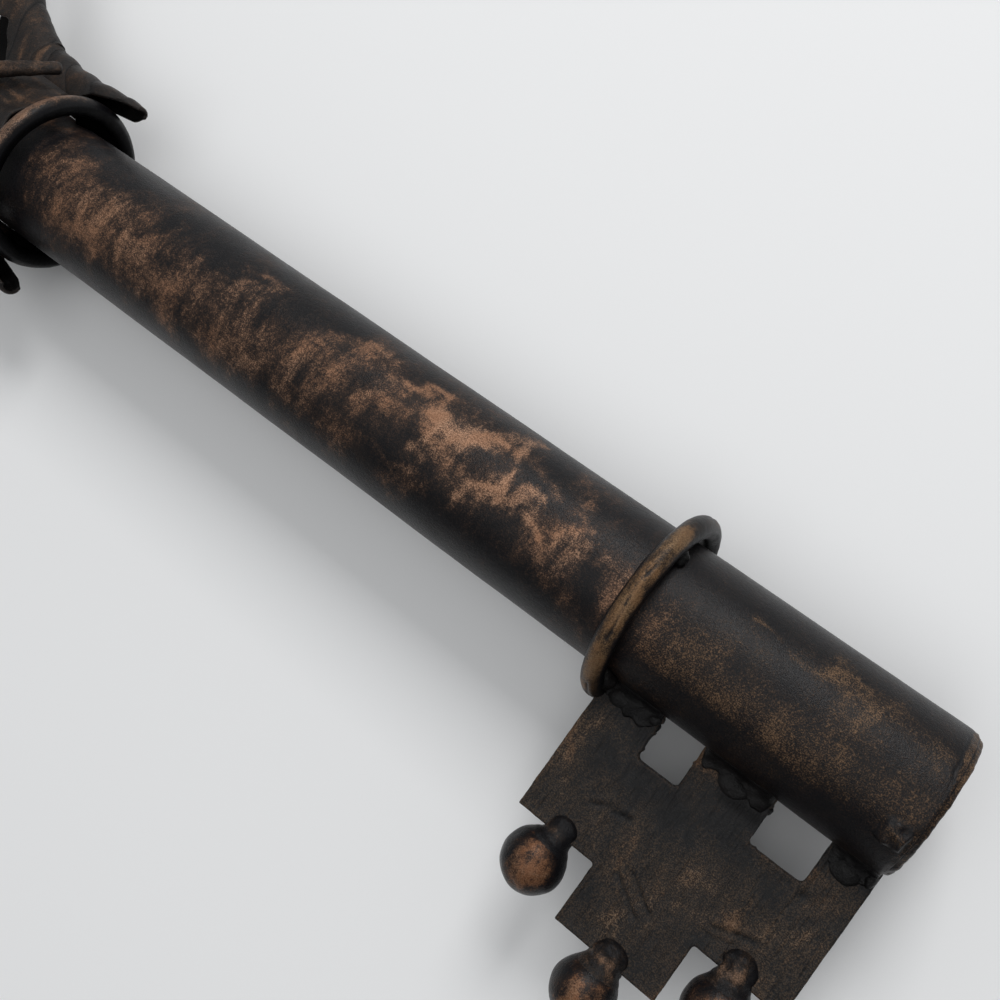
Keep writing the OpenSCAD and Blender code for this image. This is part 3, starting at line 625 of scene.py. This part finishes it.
def bit():
    """Plate: its edge is a rounded profile carried along the outline, and its two faces are filled
    with triangles over a net of points that dents and marks raise and lower."""
    path, side = bit_path()
    t = np.radians(np.arange(0, 91, 22.5))
    r, step = 0.55, 0.5
    inset = r - r * np.sin(t)
    height = BIT_T / 2 - r + r * np.cos(t)
    inset, height = np.concatenate([inset, inset[::-1]]), np.concatenate([height, -height[::-1]])
    ring = path[:, None] + side[:, None] * inset[:, None]
    at = beside(ring[..., 0], ring[..., 1], height)
    n, k = at.shape[:2]
    i, j = grid(np.arange(n), np.arange(k - 1))
    here, ahead = i * k + j, (i + 1) % n * k + j
    faces = beside(here, here + 1, ahead + 1, ahead).reshape(-1, 4).tolist()
    points = [at.reshape(-1, 3)]
    net = np.meshgrid(np.arange(BIT_X0, BIT_X1, step), np.arange(TONGUE_Y, -20, step))
    net = beside(*net).reshape(-1, 2)
    flat = np.vstack([path + side * r, net[bit_inside(*net.T) > 1.1]])
    edges = beside(np.arange(n), (np.arange(n) + 1) % n).tolist()
    filled = delaunay_2d_cdt([tuple(p) for p in flat.tolist()], edges, [list(range(n))], 1, 1e-5)
    cut, triangles = np.array([tuple(p) for p in filled[0]]), filled[2]
    deep = bit_inside(*cut.T)
    count = n * k
    for sign in (1, -1):
        wave = beside(*cut.T, 7.0 * sign)
        sunk = 0.16 * smooth(0.8, 4, deep) * (1 + dented(wave, 22, 55)) / 2
        sunk = sunk + 0.05 * smooth(0.8, 2, deep) * (1 + dented(wave, 5, 57))
        if sign > 0:
            sunk = sunk + smooth(0.8, 2, deep) * (bit_marks(*cut.T) + 0.1)
        points.append(beside(*cut.T, sign * (BIT_T / 2 - sunk)))
        faces += [[v + count for v in (f if sign > 0 else f[::-1])] for f in triangles]
        count += len(cut)
    points = np.vstack(points)
    x, y, _ = points.T
    rub_and_shade = strokes(x, y, BIT_RUBBED) - strokes(x, y, BIT_DARKENED)
    rub_and_shade = rub_and_shade + 0.3 * smooth(1.4, 0.2, bit_inside(x, y)) * (0.5 + 0.5 * dented(points, 8, 56))
    return points, faces, rub_and_shade - 1.4 * np.maximum(bit_marks(x, y), 0)


def fillet(x0, x1, face, seed, wide):
    """Weld in the corner between tab and tube: a hollow curve mixed from three points is closed
    inside the metal and carried along x. Its height on the tube and its reach on the plate vary
    with dents, and both ends run out into the corner."""
    s = np.linspace(0, 1, 70)
    x = x0 + (x1 - x0) * s
    at = beside(x, 0, 0)
    high = BIT_T / 2 + 2.8 + 0.8 * dented(at, 5, seed) + 0.2 * dented(at, 1.9, seed + 1)
    reach = wide + 1.3 * dented(at, 5, seed + 2) + 0.3 * dented(at, 2.1, seed + 3)
    top = beside(x, -np.sqrt(TUBE_R ** 2 - high ** 2), high)
    root_y, root_z, foot_z = -21.0, 1.55, 1.5
    corner = beside(x, root_y, root_z)
    foot = beside(x, root_y - reach, foot_z)
    pull = 0.35 * (top + foot) / 2 + 0.65 * corner
    t = np.linspace(0, 1, 16)
    curve = bezier([top[:, None], pull[:, None], foot[:, None]], t)
    bulge = (0.25 * dented(curve, 3.2, seed + 4) * np.sin(np.pi * t))[..., None]
    curve = curve + bulge * [0, -0.5, 0.8]
    inside = np.stack([foot + [0, 0.2, -0.7], corner + [0, 0.6, -0.7], top + [0, 1.0, -0.2]], 1)
    ring = np.concatenate([curve, inside], 1)
    end = np.maximum(round_edge(np.minimum(s, 1 - s) * (x1 - x0), 2.0), 0.03)[:, None, None]
    ring = corner[:, None] + (ring - corner[:, None]) * end
    rub_and_shade = -0.55 + 0.18 * dented(ring, 5, seed + 5)
    if face < 0:
        return wrapped(ring * [1, 1, -1], rub_and_shade)
    return wrapped(ring[:, ::-1], rub_and_shade[:, ::-1])


def ball_rub(ball, at, seed):
    """How far a place on a ball is rubbed, by its direction from the ball's middle: most where it
    faces up, and least on the side towards the tip."""
    rub_and_shade = smooth(0.45, 1, ball @ unit(np.array([0.08, -0.14, 1.0]))) * 0.75
    return rub_and_shade * (0.85 + 0.4 * dented(at, 5, seed + 1)) - 0.5 * smooth(0.45, 1, ball[..., 0])


def stud_ball(x, edge_y, seed):
    """Ball with slight dents."""
    u, v = grid(np.linspace(0.03, np.pi - 0.03, 48), circle(72))
    ball = beside(np.sin(u) * np.sin(v), -np.cos(u), np.sin(u) * np.cos(v))
    at = ball * BALL_R
    at = at * (1 - 0.012 * (1 - dented(at, 6, seed)))[..., None]
    return wrapped(at + [x, edge_y - BALL_GAP, 0], ball_rub(ball, at, seed))


def stud_stem(x, edge_y, r0, lap, lean, rough, rubbed, seed):
    """Short rod from the ball on to the plate, leaning a little. Its radius is the soft greater of
    the rod's and the ball's own, so that its neck runs into the ball; its far end is domed, and
    its dents are as deep as its roughness."""
    s = np.concatenate([np.linspace(0, 0.16, 14)[:-1], np.linspace(0.16, 1, 60)])
    length = lap + BALL_GAP - BALL_R * 0.5
    away = lap + BALL_GAP - s * length
    near = smooth(BALL_R + 2, BALL_R, away)
    rod_r = (r0 - 0.15) * (0.04 + 0.96 * round_edge(s * length, 3.8))
    round_r = np.sqrt(np.maximum(BALL_R ** 2 - away ** 2, 0))
    r = (rod_r + round_r + np.sqrt((rod_r - round_r) ** 2 + near)) / 2
    r = (r - 0.7 * smooth(BALL_R * 0.85, BALL_R * 0.5, away))[:, None, None]
    b = circle(48)[:, None]
    heading = np.array([np.sin(np.radians(lean)), np.cos(np.radians(lean)), 0])
    across = np.array([heading[1], -heading[0], 0])
    ball_middle = np.array([x, edge_y - BALL_GAP, 0])
    middle = (ball_middle + heading * away[:, None])[:, None]
    squash = 1 - 0.12 * smooth(BALL_R * 0.9, BALL_R * 1.3, away)[:, None, None]
    off = r * (np.sin(b) * across + squash * np.cos(b) * [0, 0, 1.0])
    rough = rough * smooth(BALL_R * 0.75, BALL_R, away)[:, None]
    large, small = dented(middle + off, 3.8, seed), dented(middle + off, 1.6, seed + 1)
    at = middle + off * (1 - rough * (1 - large) - rough * 0.4 * (1 - small))[..., None]
    side = off @ across
    rub_and_shade = rubbed * smooth(0, 0.9, (off[..., 2] - 0.35 * side) / r0)
    rub_and_shade = rub_and_shade * (0.8 + 0.5 * dented(at, 3.5, seed + 2)) * smooth(0.15, 0.5, s)[:, None]
    rub_and_shade = rub_and_shade - 0.5 * smooth(0.3, 1, side / r0)
    from_ball = at - ball_middle
    near = smooth(BALL_R + 2, BALL_R, np.linalg.norm(from_ball, axis=-1))
    rub_and_shade = rub_and_shade * (1 - near) + near * ball_rub(unit(from_ball), from_ball, seed - 10)
    return wrapped(at[::-1], rub_and_shade[::-1])


piece("bit_plate_cut", [bit()], bit_paint, "plate", "bit_plate")
piece("bit_welds", [
    fillet(x0, x1, face, seed + (6 if face > 0 else 0), wide)
    for x0, x1, wide, seed in (
        (198.2, 215.2, 5.2, 61), (228.2, 249.2, 4.2, 73), (265.6, 278.2, 4.6, 85))
    for face in (1, -1)
] + [lump(*bead) for bead in (
    ((203.2, -23.8, 0.5), (4.4, 3.4, 1.8), 71, 0.06),
    ((213.6, -22.6, 1.2), (2, 2.4, 1.2), 72, 0.06),
    ((239, -24.6, 0.5), (5, 3.4, 1.8), 73, 0.08), ((271.6, -24.6, 0.5), (4.6, 3.6, 2), 75, 0.08),
    ((277, -22.8, 1.2), (1.5, 2.3, 2), 76, 0.1), ((215.2, -24.6, 0.4), (0.9, 1.2, 1.2), 77),
    ((249.2, -24.2, 0.3), (0.9, 1.5, 1.3), 79),
)], weld_paint, "welds", "bit_weld_beads")
for number, (place, stud) in enumerate(STUDS.items()):
    ball, stem = stud_ball(*stud[:2], 81 + 3 * number), stud_stem(*stud, 91 + 3 * number)
    piece("ball_stud_" + place, [ball], ball_paint, "balls", "ball_" + place)
    piece("stem_weld_" + place, [stem], stem_paint, "stems", "stem_" + place)


# Bow
SIDE_BAR_Y, SCROLL_R, SCROLL_PITCH, SCROLL_NEST = 25.85, 3.5, 5.7, 0.05


def rod(path, radius, seed):
    """Round bar: a circle across the path at each of its points, lightly dented, rubbed on top."""
    heading = unit(np.gradient(path, axis=0))
    up = np.array([0, 0, 1.0])
    out = unit(np.cross(heading, up))
    b = circle(32)[:, None]
    across = out[:, None] * np.cos(b) + up * np.sin(b)
    r = np.broadcast_to(radius, len(path))[:, None]
    at = path[:, None] + across * r[..., None]
    at = path[:, None] + across * (r * (1 - 0.02 * (1 - dented(at, 7, seed))))[..., None]
    rub_and_shade = 0.6 * smooth(0.1, 0.95, across[..., 2]) * (0.6 + 0.5 * dented(at, 12, seed + 1))
    return wrapped(at[:, ::-1], rub_and_shade[:, ::-1])


bar_out = [(TUBE_X0 + 1.8, SIDE_BAR_Y, 0), (TUBE_X0 - 19.2, SIDE_BAR_Y, 0),
           (BOW_X + 53.8, 47, 0), (BOW_X + 31.8, BOW_HALF, 0), (BOW_X, BOW_HALF, 0)]
bar_back = [bar_out[-1], (BOW_X - 40, BOW_HALF, 0), (BOW_TOP_X, 46, 0), (BOW_TOP_X, BAR_R, 0)]
side_bar = np.vstack([
    np.linspace((TUBE_X0 + 17, SIDE_BAR_Y, 0), bar_out[0], 10)[:-1],
    bezier(bar_out, np.linspace(0, 1, 110)), bezier(bar_back, np.linspace(0, 1, 90))[1:],
])


def scroll():
    """Bar in a spiral whose radius shrinks evenly with the angle, drawn down to a thinner end."""
    room = BOW_HALF - 2 * (BAR_R + SCROLL_R) + 3 * SCROLL_NEST
    first = (room + SCROLL_PITCH) / 2
    a = np.radians(np.linspace(0, 576, 200))
    r = first - SCROLL_PITCH * a / np.pi
    y0 = BAR_R + SCROLL_R + first - SCROLL_NEST
    path = beside(BOW_X + r * np.sin(a), y0 - r * np.cos(a), 0)
    return rod(path, SCROLL_R * (1 - 0.28 * np.linspace(0, 1, 200)), 111)


def boxy(v, power):
    """A sine or cosine pushed towards 1 and -1, which makes a rounded box of a circle."""
    return np.sign(v) * abs(v) ** power


def band():
    """Flat band round side bar and scroll: a rounded box section carried round an oval of two half
    circles and straight sides."""
    y0, y1, r = BOW_HALF - 7.4, BOW_HALF + 0.4, BAR_R + 0.8
    half_wide, half_thick = 4.5, 0.8
    a = circle(120)
    centre = beside(0, np.where(np.cos(a) > 0, y1, y0), 0)
    around = beside(0, np.cos(a), np.sin(a))
    b = circle(28)
    px, pr = half_wide * boxy(np.cos(b), 0.25), half_thick * boxy(np.sin(b), 0.4)
    at = centre[:, None] + around[:, None] * (r + pr)[:, None] + beside(px, 0, 0)
    at = at - around[:, None] * (0.1 * (1 + dented(at, 5, 121)))[..., None]
    rub_and_shade = 0.5 * smooth(0, 0.8, pr / half_thick) * (0.7 + 0.5 * dented(at, 6, 122))
    rub_and_shade = rub_and_shade + 0.3 * smooth(0.85, 1, abs(px) / half_wide)
    return wrapped(at + [BOW_X, 0, 0], rub_and_shade, joined=True)


def finial():
    """Ball at the top of the bow: half a circle carried round the shank's axis, dented."""
    u = np.linspace(0.02, np.pi - 0.02, 64)
    at = lathe(beside(FINIAL_X - FINIAL_R * np.cos(u), FINIAL_R * np.sin(u)), 131, 0.3, 6, 96)
    top = smooth(0.45, 0.98, at[..., 2] / FINIAL_R)
    return wrapped(at, 0.85 * top * (0.8 + 0.3 * dented(at, 5, 132)))


def eye():
    """Flat lug with a hole: a rounded box section carried round the ring between hole and rim, and
    a neck of flat bar from the ring into the finial."""
    a, b = circle(120), circle(32)
    mid, half = (EYE_HOLE + EYE_R) / 2, (EYE_R - EYE_HOLE) / 2
    pr, pz = half * boxy(np.cos(b), 0.3), EYE_T / 2 * boxy(np.sin(b), 0.3)
    way = beside(np.cos(a), np.sin(a), 0)[:, None]
    at = beside(EYE_X, 0, pz) + way * (mid + pr)[:, None]
    at = at - way * (0.06 * (1 + dented(at, 5, 141)) * (pr > 0))[..., None]
    ring = wrapped(at[:, ::-1], (0.25 + 0.3 * (abs(pz) > 1.7))[::-1], joined=True)
    s = np.linspace(0, 1, 30)
    x = EYE_X + 6.2 + s * (FINIAL_X - FINIAL_R + 1.6 - EYE_X - 6.2)
    py = (7.6 + 0.4 * (2 * s - 1) ** 2)[:, None] * boxy(np.cos(b), 0.3)
    neck = beside(x[:, None], py, pz * 0.98)
    return [ring, wrapped(neck, 0.2)]


centre_bar = np.linspace((FINIAL_X + 9, 0, 0), (TUBE_X0 + 4, 0, 0), 160)
for name, bar, node in (
        ("bow_bar_right_forged", rod(side_bar, BAR_R, 101), "bow_bar_right"),
        ("bow_bar_left_forged", mirrored(rod(side_bar, BAR_R, 102)), "bow_bar_left"),
        ("centre_bar_forged", rod(centre_bar, BAR_R, 103), "centre_bar"),
        ("scroll_right", scroll(), "inner_scroll_right"),
        ("scroll_left", mirrored(scroll()), "inner_scroll_left")):
    piece(name, [bar], bar_paint, "bars", node)
piece("band_right", [band()], band_paint, "bands", "binding_right")
piece("band_left", [mirrored(band())], band_paint, "bands", "binding_left")
piece("finial_ball_worn", [finial()], ball_paint, "balls", "finial_ball")
piece("hanging_eye_filed", eye(), bar_paint, "bars", "hanging_eye")


# Leaves
SEAT = BAR_R + 0.02


def along_stops(stops, s):
    """Sizes along a leaf: smooth steps between its named places, one column for each size."""
    stops = np.array(stops)
    i = np.clip(np.searchsorted(stops[:, 0], s, "right") - 1, 0, len(stops) - 2)
    f = smooth(0, 1, (s - stops[i, 0]) / (stops[i + 1, 0] - stops[i, 0]))
    return stops[i, 1:] * (1 - f)[:, None] + stops[i + 1, 1:] * f[:, None]


def spread(n, rim):
    """n even steps from 0 to 1, and three more close to each end for a round rim."""
    close = np.array([0.15, 0.45, 0.8]) * rim
    return np.sort(np.concatenate([np.linspace(0, 1, n), close, 1 - close]))


def folded_leaf(bar_curve, start, leave, free_curve, share, n, stops, lobes, seed):
    """Sheet bent to a U round a spine, which is the bar's own curve over its first share and then a
    free curve to the tip. u runs from the back edge over the fold to the front edge: across the
    fold it is a quarter ellipse each way, and beyond that it runs flat and inwards. The sizes at
    the stops are the fold's reach, the front's and the back's width, and half the U's height.
    Creases slant away from the fold, evenly spaced, and the sheet swells between them."""
    s = np.linspace(0, 1, n)
    on_bar = bezier(bar_curve, start + (leave - start) * np.clip(s / share, 0, 1))
    off_bar = bezier(free_curve, np.clip((s - share) / (1 - share), 0, 1))
    spine = np.where((s < share)[:, None], on_bar, off_bar)
    fold, front, back, half = along_stops(stops, s).T[..., None]
    ss, uu = grid(s, 2 * spread(70, 0.018) - 1)
    heading = unit(np.gradient(spine, axis=0))
    out = beside(-heading[:, 1], heading[:, 0], 0)
    v = abs(uu)
    turn = np.clip(v / 0.6, 0, 1) * np.pi / 2
    inner = np.where(uu > 0, front, back) * np.clip((v - 0.6) / 0.4, 0, 1)
    mid = LEAF_T / 2

    def waved(along, across, size, number):
        return dented(beside(along, across, 0), size, number)

    plan = ((fold + mid) * (1 - np.cos(turn)) + inner) / 17
    vein = ss * lobes - plan + 0.07 * waved(ss * 90, uu * 12, 14, seed)
    ridge = abs(2 * (vein - np.floor(vein)) - 1)
    leafy = smooth(BAR_R + 0.2, BAR_R + 1.2, fold)
    swell = 0.45 * np.sin(np.pi * ((ss * lobes) % 1)) * leafy
    rib = 0.8 * (ridge ** 0.3 - 0.7) * smooth(0, 0.08, ss) * smooth(1, 0.93, ss) * smooth(1, 0.8, v)
    reach = (fold + swell + mid) * np.cos(turn) - inner + rib * np.cos(turn)
    high = (half + mid) * np.sin(turn) + rib * np.sin(turn)
    high = high + smooth(0.8, 1, v) * 0.4 * waved(ss * 80, uu * 10, 6, seed + 1) * leafy
    at = spine[:, None] + out[:, None] * reach[..., None] + beside(0, 0, np.sign(uu) * high)
    streak = smooth(0.35, 0.75, ridge) * (0.6 + 0.6 * waved(vein * 16, v * 3, 5, seed + 2))
    rub_and_shade = 0.7 * streak * smooth(0, 0.35, uu) * smooth(0.95, 0.7, uu) + 0.3 * smooth(0.93, 1, uu)
    rub_and_shade = rub_and_shade * smooth(0.85, 0.7, ss) * (0.8 + 0.4 * dented(at, 11, seed + 3))
    # Painted shade: a thin dark line along each crease, all but the last of the tip, and an under
    # side set near matt black.
    return pressed(at, LEAF_T, rub_and_shade - 0.75 * smooth(0.15, 0, ridge) * smooth(0.95, 0.9, ss), -0.82)


def side_leaf(tip_x, tip_y, seed, end):
    """Large leaf on the lower half of a side bar, its free tip past the upper collar; end gives its
    last two stops."""
    leave, before = bezier(bar_out, [0.2, 0.22])
    free = [leave, leave + 9 * unit(leave - before), (UPPER_X - 11, 33, 0),
            (UPPER_X + tip_x, tip_y, 0)]
    return folded_leaf(bar_out, 0.84, 0.2, free, 13 / 29, 200, [
        (0, BAR_R + 0.3, 1.5, 1.5, SEAT), (0.2, BAR_R + 1.4, 4, 6, SEAT),
        (0.31, BAR_R + 0.9, 8.5, 17, SEAT), (0.345, BAR_R + 1.6, 3.4, 18, SEAT),
        (0.38, BAR_R + 2.4, 5.6, 18, SEAT), (0.45, BAR_R + 3.6, 8.8, 17, SEAT),
        (0.62, BAR_R + 2.3, 8, 7, SEAT), (0.77, BAR_R - 0.7, 9.2, 4, SEAT),
        (0.86, 2.2, 2.2, 2.4, SEAT), *end,
    ], 8, seed)


def crown_leaf(seed):
    """Leaf on the upper half of a side bar, with a free tip."""
    leave, before = bezier(bar_back, [0.34, 0.36])
    free = [leave, leave + 9 * unit(leave - before), (BOW_X - 27, BOW_HALF + 6, 0),
            (BOW_X - 17, KEY_HALF_Y - 1.95, 0)]
    return folded_leaf(bar_back, 0.86, 0.34, free, 10 / 19, 140, [
        (0, BAR_R + 0.3, 1.5, 1.5, SEAT), (0.3, BAR_R + 2.2, 3.5, 3.5, SEAT),
        (0.6, BAR_R + 1.6, 6, 6, SEAT), (0.85, 3.4, 3.4, 3.4, SEAT), (1, 1, 0.8, 0.8, 2),
    ], 6, seed)


def wrapped_leaf():
    """Leaf over the end of the shank. A point goes round the axis at u * 72 degrees, as far out as
    the shank's radius, drawn in to the bar's behind it, plus ripples across, a flare at the front
    edge, which is notched between the lobes, and a lift at both sides."""
    ss, uu = grid(spread(120, 0.006), 2 * spread(90, 0.01) - 1)
    front, length, wrap = UPPER_X - ROD_R - 2.4, 86, 72
    waves = np.cos(3 * np.pi * uu)
    x = front - 3.5 * (1 - waves) / 2 * (1 - ss) - ss * length
    base = TUBE_R + (BAR_R - TUBE_R) * smooth(0, 48, TUBE_X0 - 3 - x)
    lobe = (1 + waves) / 2
    ripple = 1.1 * lobe * np.sin(np.pi * ss)
    side_share = smooth(0.5, 0.95, abs(uu))
    flare = 3 * np.maximum(0, 0.12 - ss) ** 2 / 0.0144 * (1 - side_share)
    lift = 5 * side_share * smooth(0.6, 0.25, ss)
    veins = abs(2 * ((uu * 7.5 + 0.12 * np.sin(9 * ss)) % 1) - 1)
    at_r = base + ripple + flare + lift + 0.8 + 0.35 * (1 - veins ** 0.7) * smooth(0, 0.1, ss)
    at = about(x, at_r, np.radians(uu * wrap))
    rub_and_shade = 0.45 * smooth(0.4, 1, 1 - veins) * (0.7 + 0.5 * dented(at, 9, 161)) + 0.2 * lobe
    # Painted shade: the under side is set near matt black.
    return pressed(at, LEAF_T, rub_and_shade - 0.15, -0.9)


def finger(seed):
    """Rolled lobe: a blunt, slightly tapered finger that rises from the wrapped leaf, an oval in
    section with a crease on its top."""
    s, length = np.linspace(0, 1, 70), 42
    path = bezier([(-37, 13, 18.1), (-27, 18, 23.6), (-18, 24.8, 20.2), (-11, 31.5, 15.4)], s)
    path = path + [UPPER_X, 0, 0]
    heading = unit(np.gradient(path, axis=0))
    side = unit(np.cross(heading, [0, 0, 1.0]))
    up = np.cross(side, heading)
    ends = round_edge(s * length, 2.2) * round_edge((1 - s) * length, 1.8)
    w = ((2.5 - 0.8 * s) * np.maximum(ends, 0.04))[:, None]
    b = circle(36)
    across = side[:, None] * (1.25 * np.cos(b))[:, None] + up[:, None] * np.sin(b)[:, None]
    at = path[:, None] + across * w[..., None]
    crease = np.exp(-((b - np.pi / 2) / 0.25) ** 2) * smooth(0.9, 0.3, s)[:, None]
    dent = 0.06 * dented(at, 5, seed) + 0.04 * dented(at, 2, seed + 1) - 0.14 * crease
    at = path[:, None] + across * (w * (1 + dent))[..., None]
    rub_and_shade = 0.6 * smooth(0.2, 1, np.sin(b)) * (0.7 + 0.5 * dented(at, 6, seed + 2))
    return wrapped(at[:, ::-1], rub_and_shade[:, ::-1])


def bar_leaf():
    """Small leaf on the centre bar, its edges notched and bent down, with midrib and veins."""
    ss, uu = grid(spread(90, 0.01), 2 * spread(50, 0.02) - 1)
    notched = 1 - 0.12 * abs(2 * ((ss * 6) % 1) - 1)
    wide = 1.2 + 9.5 * np.sin(np.pi * np.clip(ss, 0.0005, 0.9995) ** 0.8) ** 0.8 * notched
    vein = abs(2 * ((ss * 6 + abs(uu)) % 1) - 1)
    z = SEAT + LEAF_T / 2 + 0.5 * vein * abs(uu) - 0.01 * (wide * uu) ** 2
    midrib = 0.5 * np.exp(-(uu / 0.12) ** 2)
    at = beside(BOW_X - 30 + 58 * ss, uu * wide, z + midrib)
    rub_and_shade = 0.5 * smooth(0.3, 1, vein) * (0.7 + 0.5 * dented(at, 7, 171))
    return pressed(at[:, ::-1], LEAF_T, rub_and_shade[:, ::-1])


right_side = side_leaf(11.6, 35.4, 151, [(0.95, 1.4, 0.5, 3, 3.4), (1, 0.25, 0.2, 1.2, 1.2)])
left_side = side_leaf(8.6, 37.2, 191, [(0.95, 2, 0.6, 2.6, 3.8), (1, 1.2, 0.3, 1.6, 2.6)])
for name, leaf, node in (
        ("side_leaf_right_pressed", right_side, "side_leaf_right"),
        ("side_leaf_left_pressed", mirrored(left_side), "side_leaf_left"),
        ("crown_leaf_right_pressed", crown_leaf(156), "crown_leaf_right"),
        ("crown_leaf_left_pressed", mirrored(crown_leaf(196)), "crown_leaf_left"),
        ("wrapped_leaf_pressed", wrapped_leaf(), "front_leaf"),
        ("finger_lobe_right", finger(181), "front_lobe_right"),
        ("finger_lobe_left", mirrored(finger(184)), "front_lobe_left"),
        ("bar_leaf_pressed", bar_leaf(), "centre_leaf")):
    piece(name, [leaf], leaf_paint, "leaves", node)


# Floor, light and camera
F = 4.0  # half the floor's width
floor_mesh = bpy.data.meshes.new("floor")
floor_mesh.from_pydata([(-F, -F, 0), (F, -F, 0), (F, F, 0), (-F, F, 0)], [], [(0, 1, 2, 3)])
floor = placed("floor", floor_mesh)
floor_paper = bpy.data.materials.new("floor_paper")
floor_paper.use_nodes = True
paper = floor_paper.node_tree.nodes["Principled BSDF"]
for key, value in (("Base Color", (0.8, 0.803, 0.806, 1)), ("Roughness", 0.8),
                   ("Specular IOR Level", 0.2)):
    paper.inputs[key].default_value = value
floor_mesh.materials.append(floor_paper)


def lamp(name, place, target, power, size):
    """Square soft lamp that shines from a place on the target."""
    light = bpy.data.lights.new(name, "AREA")
    light.energy, light.size = power, size
    back = unit(np.subtract(place, target))
    side = unit(np.cross([0, 0, 1.0], back))
    turn = Matrix(np.column_stack([side, np.cross(back, side), back]).tolist())
    placed(name, light).matrix_world = Matrix.Translation(place) @ turn.to_4x4()


lamp("window_light", (0.04, 0.92, 0.98), (0.1, 0, 0.03), 9.4, 0.54)
lamp("ceiling_light", (0.2, -0.35, 1.5), (0.1, 0, 0), 7.6, 1.4)

# The room is brighter overhead and towards the bow's side, and darker low down towards the tip.
# The camera sees it in one pale tone.
ROOM_TONE = 0.72
world = bpy.data.worlds.new("room")
bpy.context.scene.world = world
world.use_nodes = True
room = world.node_tree
heading = joint(room, "TexCoord", {}, 0)
rise = joint(room, "VectorMath", {0: heading, 1: (-0.35, 0.6, 0.7)}, 1, operation="DOT_PRODUCT")
glow = joint(room, "MapRange", {"Value": rise, "From Min": -0.4, "From Max": 0.9,
                                "To Min": 0.08, "To Max": 0.5})
to_camera = joint(room, "LightPath", {}, 0)
seen = joint(room, "Mix", {0: to_camera, 2: glow, 3: ROOM_TONE}, data_type="FLOAT")
room.nodes["Background"].inputs["Color"].default_value = (0.96, 0.98, 1.0, 1)
room.links.new(seen, room.nodes["Background"].inputs["Strength"])

camera_data = bpy.data.cameras.new("camera")
camera_data.sensor_width, camera_data.lens, camera_data.clip_start = 36, 39.6, 0.01
camera = placed("camera", camera_data)
right = np.array([0.7732, 0.5802, -0.2559])
down = np.array([0.5510, -0.8144, -0.1817])
camera_turn = np.column_stack([unit(right), -unit(down), unit(np.cross(down, right))]).tolist()
camera.matrix_world = (Matrix.Translation((0.240735, -0.00003, 0.32269))
                       @ Matrix(camera_turn).to_4x4())
bpy.context.scene.camera = camera
bpy.context.scene.view_settings.view_transform = "Standard"
